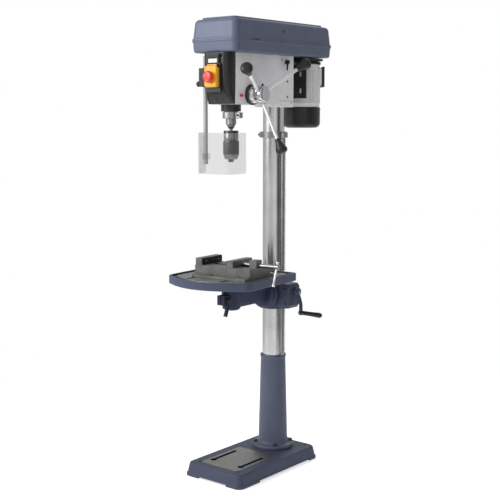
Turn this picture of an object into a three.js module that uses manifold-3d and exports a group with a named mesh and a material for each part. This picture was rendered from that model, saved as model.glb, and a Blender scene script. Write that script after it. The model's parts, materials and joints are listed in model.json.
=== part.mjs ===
// A floor-standing drill press: base, column, geared table lift, tilting table with a vise,
// belt-driven head with quill feed, keyless chuck, switch with a hinged lid, and a chuck guard.
// Millimetres, +Z up. The machine is laid out about its column: the column's axis is X = 0, Y = 0
// and the operator stands at -Y. The whole group is moved at the end so that the origin lies
// under the middle of the machine.
import * as THREE from "three";
import { mergeVertices } from "three/addons/utils/BufferGeometryUtils.js";
import Module from "manifold-3d";

const wasm = await Module();
wasm.setup();

// ---------------------------------------------------------------- driving dimensions
const GAP = 0.3; // between pieces that touch
const COLUMN_R = 40;
const THROAT = 243; // column axis to spindle axis
const BASE_W = 266;
const BASE_FRONT = -356;
const BASE_REAR = 112;
const BASE_H = 49;
const SUPPORT_TOP = 408;
const COLUMN_TOP = 1478;
const COLLAR_Z = 1219;
const HEAD_HALF = 60; // half the width of the head casting
const HEAD_FRONT = -290;
const HEAD_REAR = 45;
const HEAD_Z = 1337;
const PAN_Z = 1513; // underside of the belt pan
const PAN_HALF = 107;
const PAN_FRONT = -340;
const PAN_REAR = 227;
const LID_Z = 1554;
const LID_TOP = 1632;
const FEED_Y = -205; // axis of the feed shaft
const FEED_Z = 1371;
const QUILL_R = 25.5;
const QUILL_Z = 1288; // lower end of the quill, raised
const MOTOR_Y = 172;
const MOTOR_R = 68;
const IDLER_Y = -35;
const PULLEY_Z = 1530;
const PULLEY_STEP = 18;
const TABLE_TOP = 740;
const TABLE_TURN = THREE.MathUtils.degToRad(5); // the table stands a little turned on its pivot
const TILT_Z = 648; // height of the tilt axis and of the table arm
const FLANGE_Y = -58; // plane between the table arm and the column bracket
const CRANK_Z = 656;
const ROD_X = -70.5; // post of the chuck guard
const ROD_Y = -298;
const PRESSURE = THREE.MathUtils.degToRad(20);
const LIFT_MODULE = 2.5;
const LIFT_TEETH = 16;
const FEED_MODULE = 2;
const FEED_TEETH = 14;
const BACKLASH = 0.6;
const ADDENDUM = 0.8; // tooth height above and below the pitch line, in modules
const DEDENDUM = 1.15;
const CENTRE_X = 18.8; // middle of the machine's outline
const CENTRE_Y = -101.1;

// ---------------------------------------------------------------- materials
function finish(color, roughness, metalness) {
  return new THREE.MeshStandardMaterial({ color, roughness, metalness });
}

const bluePaint = finish(0x666d86, 0.5, 0.1);
const greyPaint = finish(0xb7b9ba, 0.5, 0.2);
const steel = finish(0xa9abac, 0.35, 1);
const chrome = finish(0xdedede, 0.12, 1);
const iron = finish(0x5c5d58, 0.6, 0.7);
const charcoal = finish(0x2c2e31, 0.55, 0.1);
const blackPlastic = finish(0x17181a, 0.45, 0);
const yellow = finish(0xf0a812, 0.45, 0);
const red = finish(0xd0342c, 0.4, 0);
const green = finish(0x1f8a3c, 0.4, 0);
const rubber = finish(0x1a1a1a, 0.8, 0);
const acrylic = new THREE.MeshStandardMaterial({
  color: 0xe8eaea,
  roughness: 0.1,
  transparent: true,
  opacity: 0.4,
});

// ---------------------------------------------------------------- solids
function toSolid(geometry) {
  const bare = geometry.clone();
  bare.deleteAttribute("normal");
  bare.deleteAttribute("uv");
  const merged = mergeVertices(bare, 1e-4);
  const triVerts = [];
  const index = merged.index.array;
  for (let i = 0; i < index.length; i += 3) {
    const [a, b, c] = [index[i], index[i + 1], index[i + 2]];
    if (a !== b && b !== c && c !== a) triVerts.push(a, b, c);
  }
  const vertProperties = merged.attributes.position.array;
  const mesh = new wasm.Mesh({ numProp: 3, vertProperties, triVerts: new Uint32Array(triVerts) });
  return new wasm.Manifold(mesh);
}

function toGeometry(solid) {
  const { vertProperties, triVerts } = solid.getMesh();
  const geometry = new THREE.BufferGeometry();
  geometry.setAttribute("position", new THREE.BufferAttribute(vertProperties, 3));
  geometry.setIndex(new THREE.BufferAttribute(triVerts, 1));
  geometry.computeVertexNormals();
  return geometry;
}

function join(...geometries) {
  return toGeometry(geometries.map(toSolid).reduce((sum, solid) => sum.add(solid)));
}

function cut(geometry, ...tools) {
  return toGeometry(tools.reduce((rest, tool) => rest.subtract(toSolid(tool)), toSolid(geometry)));
}

function common(geometry, other) {
  return toGeometry(toSolid(geometry).intersect(toSolid(other)));
}

// A box between two corners.
function block(x0, x1, y0, y1, z0, z1) {
  const geometry = new THREE.BoxGeometry(x1 - x0, y1 - y0, z1 - z0);
  return geometry.translate((x0 + x1) / 2, (y0 + y1) / 2, (z0 + z1) / 2);
}

// A cone frustum about the Z axis, radius r0 at z0 and r1 at z1.
function cone(r0, r1, z0, z1, sides = 24) {
  const geometry = new THREE.CylinderGeometry(r1, r0, z1 - z0, sides);
  return geometry.rotateX(Math.PI / 2).translate(0, 0, (z0 + z1) / 2);
}

function drum(radius, z0, z1, sides = 24) {
  return cone(radius, radius, z0, z1, sides);
}

// Turns a shape made about Z so that Z runs along +X or along +Y.
function alongX(geometry) {
  return geometry.rotateY(Math.PI / 2);
}

function alongY(geometry) {
  return geometry.rotateX(-Math.PI / 2);
}

// A turned piece about Z from [radius, z] pairs, lowest first.
function turned(profile, sides = 28) {
  const points = profile.map(([r, z]) => new THREE.Vector2(r, z));
  return new THREE.LatheGeometry(points, sides).rotateX(Math.PI / 2);
}

// A plate with the outline of a shape, from z0 to z1.
function plate(shape, z0, z1, curveSegments = 6) {
  const geometry = new THREE.ExtrudeGeometry(shape, { depth: z1 - z0, bevelEnabled: false, curveSegments });
  return geometry.translate(0, 0, z0);
}

// A plate drawn in the Y-Z plane, from x0 to x1: shape x is Y and shape y is Z.
function plateAcrossX(shape, x0, x1, curveSegments = 6) {
  const geometry = plate(shape, 0, x1 - x0, curveSegments);
  return geometry.rotateX(Math.PI / 2).rotateZ(Math.PI / 2).translate(x0, 0, 0);
}

function polygon(points) {
  return new THREE.Shape(points.map(([x, y]) => new THREE.Vector2(x, y)));
}

// A rounded rectangle as a ring of points at height z, anticlockwise from above.
function roundedRing(x0, x1, y0, y1, radius, z, arc = 3) {
  const corners = [
    [x1 - radius, y1 - radius, 0],
    [x0 + radius, y1 - radius, 1],
    [x0 + radius, y0 + radius, 2],
    [x1 - radius, y0 + radius, 3],
  ];
  const ring = [];
  for (const [cx, cy, quarter] of corners) {
    for (let i = 0; i <= arc; i += 1) {
      const angle = (quarter + i / arc) * Math.PI * 0.5;
      ring.push(new THREE.Vector3(cx + radius * Math.cos(angle), cy + radius * Math.sin(angle), z));
    }
  }
  return ring;
}

// A closed skin through rings of equally many points, lowest ring first.
function loft(rings) {
  const count = rings[0].length;
  const points = rings.flat();
  const faces = [];
  for (let level = 0; level + 1 < rings.length; level += 1) {
    for (let i = 0; i < count; i += 1) {
      const a = level * count + i;
      const b = level * count + ((i + 1) % count);
      faces.push(a, b, b + count, a, b + count, a + count);
    }
  }
  for (const [ring, upward] of [[0, false], [rings.length - 1, true]]) {
    const middle = new THREE.Vector3();
    rings[ring].forEach((p) => middle.addScaledVector(p, 1 / count));
    points.push(middle);
    for (let i = 0; i < count; i += 1) {
      const a = ring * count + i;
      const b = ring * count + ((i + 1) % count);
      faces.push(...(upward ? [a, b, points.length - 1] : [b, a, points.length - 1]));
    }
  }
  return new THREE.BufferGeometry().setFromPoints(points).setIndex(faces);
}

// A straight round bar between two points.
function bar(from, to, r0, r1 = r0, sides = 16) {
  const start = new THREE.Vector3(...from);
  const way = new THREE.Vector3(...to).sub(start);
  const geometry = cone(r0, r1, 0, way.length(), sides);
  const up = new THREE.Vector3(0, 0, 1);
  geometry.applyQuaternion(new THREE.Quaternion().setFromUnitVectors(up, way.normalize()));
  return geometry.translate(...from);
}

// Half the angle that a gear tooth fills at a radius: an involute above the base circle.
function toothHalfAngle(teeth, pitchR, radius) {
  const involute = (r) => {
    const angle = Math.acos(Math.min(1, (pitchR * Math.cos(PRESSURE)) / r));
    return Math.tan(angle) - angle;
  };
  return Math.PI / (2 * teeth) - BACKLASH / (4 * pitchR) + involute(pitchR) - involute(radius);
}

// A spur gear outline with a tooth on +X.
function gearShape(teeth, module) {
  const pitchR = (teeth * module) / 2;
  const radii = [pitchR - DEDENDUM * module, pitchR, pitchR + ADDENDUM * module];
  const points = [];
  for (let i = 0; i < teeth; i += 1) {
    const middle = (2 * Math.PI * i) / teeth;
    const half = radii.map((r) => toothHalfAngle(teeth, pitchR, r));
    radii.forEach((r, k) => points.push([r * Math.cos(middle - half[k]), r * Math.sin(middle - half[k])]));
    for (let k = radii.length - 1; k >= 0; k -= 1) {
      points.push([radii[k] * Math.cos(middle + half[k]), radii[k] * Math.sin(middle + half[k])]);
    }
  }
  return polygon(points);
}

// A rack outline: its length along x, its back at y = -thickness and its pitch line at y = 0.
// A gap between two teeth is centred on x = gapAt.
function rackShape(x0, x1, thickness, module, gapAt) {
  const pitch = Math.PI * module;
  const half = pitch / 4 - BACKLASH / 4;
  const slope = Math.tan(PRESSURE);
  const tip = ADDENDUM * module;
  const root = DEDENDUM * module;
  const points = [[x0, -thickness], [x1, -thickness], [x1, -root]];
  const last = Math.floor((x1 - gapAt - pitch) / pitch);
  const first = Math.ceil((x0 - gapAt) / pitch);
  for (let i = last; i >= first; i -= 1) {
    const x = gapAt + (i + 0.5) * pitch;
    points.push([x + half + root * slope, -root], [x + half - tip * slope, tip]);
    points.push([x - half + tip * slope, tip], [x - half - root * slope, -root]);
  }
  points.push([x0, -root]);
  return polygon(points);
}

// A rack standing along Z with its teeth towards +Y and its pitch line at y = pitchY.
function rackUpright(z0, z1, thickness, module, gapAt, pitchY) {
  const flat = rackShape(z0, z1, thickness, module, gapAt).getPoints();
  return polygon(flat.map((p) => [p.y + pitchY, p.x]).reverse());
}

// A belt round two pulleys whose centres lie on the Y axis.
function belt(yA, rA, yB, rB, thickness, z0, z1) {
  const lean = Math.asin((rB - rA) / (yB - yA));
  const around = (path, extra) => {
    path.absarc(0, yA, rA + extra, Math.PI + lean, 2 * Math.PI - lean, false);
    path.absarc(0, yB, rB + extra, -lean, Math.PI + lean, false);
    return path;
  };
  const outline = around(new THREE.Shape(), thickness);
  outline.holes.push(around(new THREE.Path(), 0));
  return plate(outline, z0, z1, 10);
}

const machine = new THREE.Group();
machine.position.set(-CENTRE_X, -CENTRE_Y, 0);

function add(name, geometry, material, parent = machine) {
  const mesh = new THREE.Mesh(geometry, material);
  mesh.name = name;
  parent.add(mesh);
  return mesh;
}

// ---------------------------------------------------------------- stand
const FOOT_GAP = 7; // height of the gaps between the base's feet

function makeBase() {
  const half = BASE_W / 2;
  const ring = (inset, z) =>
    roundedRing(-half + inset, half - inset, BASE_FRONT + inset, BASE_REAR - inset, 16, z);
  const casting = loft([ring(1, 0), ring(0, 2), ring(0, 9), ring(3, 12), ring(10, BASE_H - 2),
    ring(12, BASE_H)]);
  const hollow = loft([ring(12, -1), ring(13, 10), ring(21, BASE_H - 12)]);
  const pad = drum(84, BASE_H - 8, BASE_H + 2, 36);
  const boss = drum(60, BASE_H - 30, BASE_H - 8, 20);
  const slots = [];
  for (const x of [-65, 65]) {
    slots.push(block(x - 7, x + 7, -270, -140, 20, BASE_H + 9));
    slots.push(drum(12, 20, BASE_H + 9, 16).translate(x, -270, 0));
  }
  const footGaps = [
    block(-half * 0.5, half * 0.5, BASE_FRONT - 5, BASE_FRONT + 30, -1, FOOT_GAP),
    block(-half * 0.5, half * 0.5, BASE_REAR - 30, BASE_REAR + 5, -1, FOOT_GAP),
    block(-half - 5, -half + 30, BASE_FRONT + 112, BASE_REAR - 52, -1, FOOT_GAP),
    block(half - 30, half + 5, BASE_FRONT + 112, BASE_REAR - 52, -1, FOOT_GAP),
  ];
  const holes = [];
  for (const x of [-90, 90]) {
    for (const y of [-314, 88]) holes.push(drum(6, 20, BASE_H + 9, 12).translate(x, y, 0));
  }
  const bore = drum(COLUMN_R - 6, -2, BASE_H + 9, 24);
  return cut(join(cut(casting, hollow), pad, boss), ...slots, ...footGaps, ...holes, bore);
}

function makeSupport() {
  const foot = BASE_H + 2 + GAP;
  const bore = COLUMN_R + 2 * GAP;
  return turned(
    [
      [bore, foot], [78, foot], [79, foot + 3], [78, foot + 14], [62, foot + 16], [57, foot + 21],
      [54.5, foot + 32], [46.5, SUPPORT_TOP - 14], [47.5, SUPPORT_TOP - 10], [47.5, SUPPORT_TOP],
      [bore, SUPPORT_TOP], [bore, foot],
    ],
    28,
  );
}

function makeColumn() {
  const inner = COLUMN_R - 5;
  const foot = BASE_H + 2 + GAP;
  const wall = [[inner, foot], [COLUMN_R, foot], [COLUMN_R, COLUMN_TOP], [inner, COLUMN_TOP],
    [inner, foot]];
  return turned(wall, 40);
}

// The ring that holds the top of the rack, with a set-screw lug.
function makeCollar() {
  const ring = drum(47, COLLAR_Z, COLLAR_Z + 22, 40);
  const rackLug = block(42, 55, -13, 13, COLLAR_Z, COLLAR_Z + 20);
  const screwLug = block(44, 53, -9, 9, COLLAR_Z + 1, COLLAR_Z + 21).rotateZ(THREE.MathUtils.degToRad(219));
  return cut(join(ring, rackLug, screwLug), drum(COLUMN_R + GAP, COLLAR_Z - 1, COLLAR_Z + 23, 40));
}

add("base", makeBase(), bluePaint);
add("column_support", makeSupport(), bluePaint);
add("column", makeColumn(), steel);
add("rack_collar", makeCollar(), steel);

// ---------------------------------------------------------------- head
function makeHead() {
  const top = PAN_Z - GAP;
  const ring = (z) => roundedRing(-HEAD_HALF, HEAD_HALF, HEAD_FRONT, HEAD_REAR, 8, z);
  const body = loft([ring(HEAD_Z), ring(top)]);
  const clamp = loft([
    roundedRing(-HEAD_HALF - 3, HEAD_HALF + 3, -52, HEAD_REAR + 4, 20, HEAD_Z - 7),
    roundedRing(-HEAD_HALF - 3, HEAD_HALF + 3, -52, HEAD_REAR + 4, 20, HEAD_Z + 15),
  ]);
  const nose = drum(35, HEAD_Z - 24, HEAD_Z + 5, 28).translate(0, -THROAT, 0);
  const idlerPost = drum(7.7, top - 5, PULLEY_Z + 68, 16).translate(0, IDLER_Y, 0);
  const idlerRing = drum(16, top - 5, PULLEY_Z - 2, 20).translate(0, IDLER_Y, 0);
  const quillBore = drum(QUILL_R + 0.4, HEAD_Z - 30, 1488, 28).translate(0, -THROAT, 0);
  const spindleBore = drum(20.5, 1480, top + 2, 20).translate(0, -THROAT, 0);
  const pocket = block(-44, 44, -178, -58, 1408, top - 14);
  const window = block(-30, 30, -150, -90, top - 20, top + 2);
  const columnBore = drum(COLUMN_R + GAP, HEAD_Z - 30, COLUMN_TOP + 1, 40);
  const shaftBore = alongX(drum(16.6, -HEAD_HALF - 5, HEAD_HALF + 5, 20)).translate(0, FEED_Y, FEED_Z);
  const slideBores = [-38, 38].map((x) => alongY(drum(8.5, -70, HEAD_REAR + 9, 16)).translate(x, 0, 1490));
  const lockBore = alongX(drum(5.6, 44, HEAD_HALF + 6, 14)).translate(0, -6, 1490);
  return cut(
    join(body, clamp, nose, idlerPost, idlerRing),
    quillBore, spindleBore, pocket, window, columnBore, shaftBore, ...slideBores, lockBore,
  );
}

// Plan of the front cover at one height: flat in front, rounded back to the sides.
function coverRing(side, rear, front, flat, z) {
  const ring = [new THREE.Vector3(side, rear, z), new THREE.Vector3(-side, rear, z)];
  const depth = rear - front - 6;
  const steps = 5;
  for (const sign of [-1, 1]) {
    for (let i = 0; i <= steps; i += 1) {
      const t = ((sign < 0 ? i : steps - i) / steps) * Math.PI * 0.5;
      const x = flat + (side - flat) * Math.cos(t);
      ring.push(new THREE.Vector3(sign * x, rear - 6 - depth * Math.sin(t), z));
    }
  }
  return ring;
}

function makeFrontCover() {
  const rear = HEAD_FRONT - GAP;
  const outer = loft([
    coverRing(58, rear, -296, 50, HEAD_Z + 1),
    coverRing(59, rear, -317, 42, HEAD_Z + 26),
    coverRing(HEAD_HALF, rear, -330, 36, PAN_Z - 60),
    coverRing(HEAD_HALF, rear, -331, 36, PAN_Z - GAP),
  ]);
  const inner = loft([
    coverRing(54, rear + 1, -292, 47, HEAD_Z + 5),
    coverRing(56, rear + 1, -313, 39, HEAD_Z + 28),
    coverRing(57, rear + 1, -327, 34, PAN_Z - 60),
    coverRing(57, rear + 1, -328, 34, PAN_Z - 4),
  ]);
  return cut(outer, inner);
}

// The tray that the pulleys and belts run in, with the lower halves of the lid's hinges.
const HINGE_X = -PAN_HALF - 6;
const HINGE_AT = [-200, 110];

function hingeBarrel(y0, y1, z0, z1) {
  const barrel = alongY(drum(4.6, y0, y1, 12)).translate(HINGE_X, 0, LID_Z);
  return join(barrel, block(HINGE_X, HINGE_X + 8, y0, y1, z0, z1));
}

function makePan() {
  const rim = LID_Z - GAP;
  const ring = (inset, radius, z) =>
    roundedRing(-PAN_HALF + inset, PAN_HALF - inset, PAN_FRONT + inset, PAN_REAR - inset, radius, z);
  const outer = loft([ring(10, 20, PAN_Z), ring(5, 23, PAN_Z + 4), ring(3, 25, PAN_Z + 12),
    ring(2, 26, rim - 6), ring(0, 27, rim - 5), ring(0, 27, rim)]);
  const inner = loft([ring(13, 17, PAN_Z + 4), ring(6, 22, PAN_Z + 12), ring(5, 23, rim + 1)]);
  const knuckles = HINGE_AT.map((y) => hingeBarrel(y - 12, y + 12, rim - 9, rim - 1));
  const spindleHole = drum(24, PAN_Z - 2, PAN_Z + 9, 24).translate(0, -THROAT, 0);
  const idlerHole = drum(17, PAN_Z - 2, PAN_Z + 9, 24).translate(0, IDLER_Y, 0);
  const motorHole = join(
    drum(22, PAN_Z - 2, PAN_Z + 9, 24).translate(0, MOTOR_Y, 0),
    drum(22, PAN_Z - 2, PAN_Z + 9, 24).translate(0, MOTOR_Y - 14, 0),
  );
  const pinBore = alongY(drum(2.4, -250, 150, 10)).translate(HINGE_X, 0, LID_Z);
  const reliefs = HINGE_AT.flatMap((y) => [
    block(HINGE_X - 5.2, HINGE_X + 5.2, y - 25, y - 12, LID_Z - 5.2, LID_Z + 6),
    block(HINGE_X - 5.2, HINGE_X + 5.2, y + 12, y + 25, LID_Z - 5.2, LID_Z + 6),
  ]);
  return cut(join(cut(outer, inner, spindleHole, idlerHole, motorHole), ...knuckles), pinBore, ...reliefs);
}

function makeLid() {
  const ring = (inset, radius, z, ends = 0) =>
    roundedRing(
      -PAN_HALF + inset,
      PAN_HALF - inset,
      PAN_FRONT + inset + ends,
      PAN_REAR - inset - ends,
      radius,
      z,
    );
  const outer = loft([
    ring(0, 27, LID_Z),
    ring(0, 27, LID_Z + 5),
    ring(3, 25, LID_Z + 6),
    ring(7, 25, LID_TOP - 22),
    ring(11, 24, LID_TOP - 13),
    ring(19, 20, LID_TOP - 8),
    ring(29, 16, LID_TOP - 6, -2),
    ring(32, 14, LID_TOP, -3),
  ]);
  const inner = loft([ring(5, 23, LID_Z - 1), ring(6, 22, LID_Z + 6), ring(10, 22, LID_TOP - 22),
    ring(16, 20, LID_TOP - 12), ring(34, 14, LID_TOP - 9)]);
  const knuckles = HINGE_AT.flatMap((y) => [
    hingeBarrel(y - 23, y - 12.5, LID_Z + 1, LID_Z + 5),
    hingeBarrel(y + 12.5, y + 23, LID_Z + 1, LID_Z + 5),
  ]);
  const pinBore = alongY(drum(2.4, -250, 150, 10)).translate(HINGE_X, 0, LID_Z);
  const relief = HINGE_AT.map((y) =>
    block(HINGE_X - 6, HINGE_X + 5.6, y - 12.5, y + 12.5, LID_Z - 6, LID_Z + 5.6),
  );
  const fingerSlot = block(PAN_HALF - 4, PAN_HALF + 2, -262, -214, LID_Z - 1, LID_Z + 4);
  return cut(join(cut(outer, inner), ...knuckles), pinBore, ...relief, fingerSlot);
}

function makeHingePin() {
  return alongY(drum(2.1, HINGE_AT[0] - 26, HINGE_AT[1] + 26, 12)).translate(HINGE_X, 0, LID_Z);
}

// The cup on the left of the head, and the flat spiral spring in it that lifts the quill.
function makeSpringCup() {
  const face = -HEAD_HALF - GAP;
  const cup = turned([[31, -face], [35, -face], [35, -face + 24], [32, -face + 27], [0, -face + 27],
    [0, -face + 24], [31, -face + 24], [31, -face]]);
  return alongX(cup).rotateZ(Math.PI).translate(0, FEED_Y, FEED_Z);
}

function makeReturnSpring() {
  const turns = 3;
  const steps = 12 * turns;
  const edge = (offset) => {
    const points = [];
    for (let i = 0; i <= steps; i += 1) {
      const angle = (2 * Math.PI * turns * i) / steps;
      const r = 14 + (14 * i) / steps + offset;
      points.push([r * Math.cos(angle), r * Math.sin(angle)]);
    }
    return points;
  };
  const ribbon = polygon([...edge(0.7), ...edge(-0.7).reverse()]);
  return plateAcrossX(ribbon, -HEAD_HALF - 20, -HEAD_HALF - 4).translate(0, FEED_Y, FEED_Z);
}

add("head_casting", makeHead(), greyPaint);
add("front_cover", makeFrontCover(), charcoal);
add("belt_pan", makePan(), bluePaint);
add("belt_lid", makeLid(), bluePaint);
add("hinge_pin", makeHingePin(), steel);
add("spring_cup", makeSpringCup(), charcoal);
add("return_spring", makeReturnSpring(), steel);

// ---------------------------------------------------------------- drive
function pulley(radii, bore, boss) {
  const profile = [[bore, boss], [bore + 9, boss], [bore + 9, PULLEY_Z]];
  radii.forEach((r, i) => {
    const z = PULLEY_Z + i * PULLEY_STEP;
    profile.push([r + 7, z], [r, z + 3.5], [r, z + 14.5], [r + 7, z + 16]);
  });
  const top = PULLEY_Z + radii.length * PULLEY_STEP;
  profile.push([radii[radii.length - 1] + 7, top], [bore, top], [bore, boss]);
  return turned(profile, 20);
}

const SPINDLE_STEPS = [76, 64, 52, 40];
const IDLER_STEPS = [40, 52, 64, 76];
const MOTOR_STEPS = [36, 24];
const FRONT_LEVEL = 2; // step that the front belt runs on
const REAR_LEVEL = 3;

function beltOn(level, yA, rA, yB, rB) {
  const z = PULLEY_Z + level * PULLEY_STEP + PULLEY_STEP / 2;
  return belt(yA, rA + 0.5, yB, rB + 0.5, 6, z - 4.8, z + 4.8);
}

function makeMotorPulley() {
  const z0 = PULLEY_Z + FRONT_LEVEL * PULLEY_STEP;
  const profile = [[0, 1482], [9, 1482], [9, z0 - 10], [17, z0 - 10], [17, z0]];
  MOTOR_STEPS.forEach((r, i) => {
    const z = z0 + i * PULLEY_STEP;
    profile.push([r + 5, z], [r, z + 3.5], [r, z + 14.5], [r + 5, z + 16]);
  });
  profile.push([0, z0 + MOTOR_STEPS.length * PULLEY_STEP - 2]);
  return turned(profile, 20).translate(0, MOTOR_Y, 0);
}

function makeMotorMount() {
  const wall = block(-76, 76, 92, 98, 1363, 1509);
  const shelf = block(-84, 84, 92, 190, 1501, 1509);
  const bars = [-38, 38].map((x) => alongY(drum(8, -40, 95, 16)).translate(x, 0, 1490));
  const slots = [];
  for (const x of [-53, 53]) {
    for (const z of [1390, 1451]) slots.push(block(x - 3.5, x + 3.5, 85, 110, z - 9, z + 9));
  }
  return cut(join(wall, shelf, ...bars), ...slots, drum(24, 1495, 1515, 24).translate(0, MOTOR_Y, 0));
}

const TERMINAL_TURN = 42; // degrees round the motor from +X
const TERMINAL_X = MOTOR_R + 5.5; // back of the terminal box from the motor's axis

function makeMotorBody() {
  const profile = [[0, 1331], [MOTOR_R - 3, 1331], [MOTOR_R, 1334], [MOTOR_R, 1494], [MOTOR_R - 3, 1500.7],
    [9.5, 1500.7], [9.5, 1478], [0, 1478]];
  const pads = [1390, 1451].map((z) => block(-62, 62, 98.3 - MOTOR_Y, -30, z - 12, z + 12));
  const seat = block(MOTOR_R - 14, TERMINAL_X, -28, 28, 1414, 1474);
  const turnedSeat = seat.rotateZ(THREE.MathUtils.degToRad(TERMINAL_TURN));
  return join(turned(profile, 28), ...pads, turnedSeat).translate(0, MOTOR_Y, 0);
}

function makeFanCover() {
  const r = MOTOR_R + 2;
  return turned([[0, 1254], [r - 14, 1254], [r - 4, 1259], [r, 1269], [r, 1330.7], [r - 3, 1330.7],
    [r - 3, 1270], [r - 15, 1257], [0, 1257]], 28).translate(0, MOTOR_Y, 0);
}

function makeTerminalBox() {
  const box = block(TERMINAL_X + GAP, TERMINAL_X + 9, -36, 36, 1406, 1482);
  return box.rotateZ(THREE.MathUtils.degToRad(TERMINAL_TURN)).translate(0, MOTOR_Y, 0);
}

function makeIdlerArm() {
  const arm = join(
    drum(23, PULLEY_Z - 10, PULLEY_Z - 6.2, 28).translate(0, IDLER_Y, 0),
    block(-9, 60, IDLER_Y - 8, IDLER_Y + 8, PULLEY_Z - 10, PULLEY_Z - 6.2),
    drum(12, PAN_Z + 4 + GAP, PULLEY_Z - 6.2, 24).translate(60, IDLER_Y, 0),
  );
  return cut(arm, drum(16.3, PULLEY_Z - 20, PULLEY_Z, 28).translate(0, IDLER_Y, 0));
}

add("motor_mount", makeMotorMount(), blackPlastic);
add("motor_body", makeMotorBody(), greyPaint);
add("fan_cover", makeFanCover(), blackPlastic);
add("terminal_box", makeTerminalBox(), blackPlastic);
add("motor_pulley", makeMotorPulley(), steel);
add("spindle_pulley", pulley(SPINDLE_STEPS, 10.5, 1490).translate(0, -THROAT, 0), steel);
add("idler_pulley", pulley(IDLER_STEPS, 8.1, PULLEY_Z - 1.5).translate(0, IDLER_Y, 0), steel);
add("idler_arm", makeIdlerArm(), iron);
const spindleBeltR = SPINDLE_STEPS[FRONT_LEVEL];
const idlerBeltR = IDLER_STEPS[FRONT_LEVEL];
add("belt_front", beltOn(FRONT_LEVEL, -THROAT, spindleBeltR, IDLER_Y, idlerBeltR), rubber);
add("belt_rear", beltOn(REAR_LEVEL, IDLER_Y, IDLER_STEPS[REAR_LEVEL], MOTOR_Y, MOTOR_STEPS[1]), rubber);

// ---------------------------------------------------------------- quill, spindle and chuck
function makeQuill() {
  const top = QUILL_Z + 180;
  const tube = turned([[17, QUILL_Z], [QUILL_R, QUILL_Z], [QUILL_R, top], [17, top], [17, QUILL_Z]], 28);
  const pitchY = (-FEED_MODULE * FEED_TEETH) / 2 + FEED_Y + THROAT;
  const [z0, z1] = [FEED_Z - 16, FEED_Z + 93];
  const teeth = plateAcrossX(rackUpright(z0, z1, 5, FEED_MODULE, FEED_Z, pitchY), -6, 6);
  const rack = common(teeth, drum(QUILL_R, z0 - 1, z1 + 1, 28));
  const seat = block(-8.4, 8.4, pitchY - 3, QUILL_R + 2, z0 - 0.5, z1 + 0.5);
  return join(cut(tube, seat), rack).translate(0, -THROAT, 0);
}

function makeQuillCollar() {
  const [z0, z1] = [QUILL_Z + 1, QUILL_Z + 23];
  const ring = drum(29.5, z0, z1, 28);
  const ears = block(20, 46, -9, 9, z0 + 1, z1 - 1);
  const slit = block(20, 50, -1.2, 1.2, z0 - 1, z1 + 1);
  return cut(join(ring, ears), slit, drum(QUILL_R + GAP, z0 - 1, z1 + 1, 28)).translate(0, -THROAT, 0);
}

function makeSpindle() {
  return turned(
    [
      [0, 1240], [5.7, 1240], [5.7, 1252], [8, 1253], [16, 1265], [18.2, 1266], [18.2, QUILL_Z - 1],
      [16.6, QUILL_Z - 1], [16.6, QUILL_Z + 170], [10, QUILL_Z + 176], [10, 1600], [0, 1600],
    ],
    20,
  ).translate(0, -THROAT, 0);
}

const JAW_SLOPE = THREE.MathUtils.degToRad(12);
const JAW_TIP_R = 5.6; // a jaw's middle line at the tips, from the chuck's axis
const CHUCK_Z = 1136;

// A bar along a jaw's line of travel: it leans outwards as it rises.
function jawBar(radius, from, to, turn) {
  const geometry = drum(radius, from, to, 14).rotateY(JAW_SLOPE).translate(JAW_TIP_R, 0, CHUCK_Z);
  return geometry.rotateZ(turn);
}

function makeChuckBody() {
  const body = turned(
    [
      [6.4, 1150], [18.5, 1150], [21, 1156], [21, 1214], [25.4, 1214.5], [25.4, 1237], [26, 1238],
      [26, 1247], [6.4, 1247], [6.4, 1150],
    ],
    24,
  );
  const bores = [0, 1, 2].map((i) => jawBar(4.7, -10, 68, (i * 2 * Math.PI) / 3));
  return cut(body, ...bores).translate(0, -THROAT, 0);
}

function makeChuckSleeve() {
  return turned(
    [
      [19.6, 1147], [22, 1147], [26.5, 1161], [28, 1166], [28, 1208], [26, 1213.6], [21.4, 1213.6],
      [21.4, 1155.5], [19.6, 1149.6], [19.6, 1147],
    ],
    24,
  ).translate(0, -THROAT, 0);
}

function makeJaw(i) {
  const jaw = jawBar(4.3, 0, 42, (i * 2 * Math.PI) / 3);
  const trim = block(-30, 30, -30, 30, CHUCK_Z - 10, CHUCK_Z + 1.2);
  return cut(jaw, trim).translate(0, -THROAT, 0);
}

add("quill", makeQuill(), steel);
add("quill_collar", makeQuillCollar(), steel);
add("spindle", makeSpindle(), steel);
add("chuck_body", makeChuckBody(), steel);
add("chuck_sleeve", makeChuckSleeve(), iron);
for (let i = 0; i < 3; i += 1) add(`chuck_jaw_${i + 1}`, makeJaw(i), steel);

// ---------------------------------------------------------------- quill feed
function makeFeedHub() {
  const side = HEAD_HALF + GAP;
  const shaft = alongX(drum(11, -HEAD_HALF - 18, side + 2, 24));
  const pinion = plateAcrossX(gearShape(FEED_TEETH, FEED_MODULE), -6, 6);
  const hub = alongX(turned([[0, side], [24, side], [24, side + 12], [30, side + 12], [30, side + 20],
    [24, side + 24], [24, side + 30], [29, side + 34], [29, side + 58], [23, side + 66],
    [0, side + 66]], 24));
  return join(shaft, pinion, hub).translate(0, FEED_Y, FEED_Z);
}

function makeDepthDial() {
  const side = HEAD_HALF + GAP;
  const ring = cut(drum(36, side + 0.4, side + 11.4, 32), drum(24.6, side - 1, side + 14, 24));
  return alongX(ring).translate(0, FEED_Y, FEED_Z);
}

// The arms stand out of the hub like a cone: each leans outwards along +X.
const ARM_ROOT = [106, 20]; // X and radius where an arm enters the hub
const ARM_KNOB = [164, 152]; // where its knob begins
const ARM_TIP = [186, 202];
const ARM_TURNS = [155, 35, -85];

function armBar(from, to, r0, r1, sides) {
  return bar([from[0], from[1], 0], [to[0], to[1], 0], r0, r1, sides);
}

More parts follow.
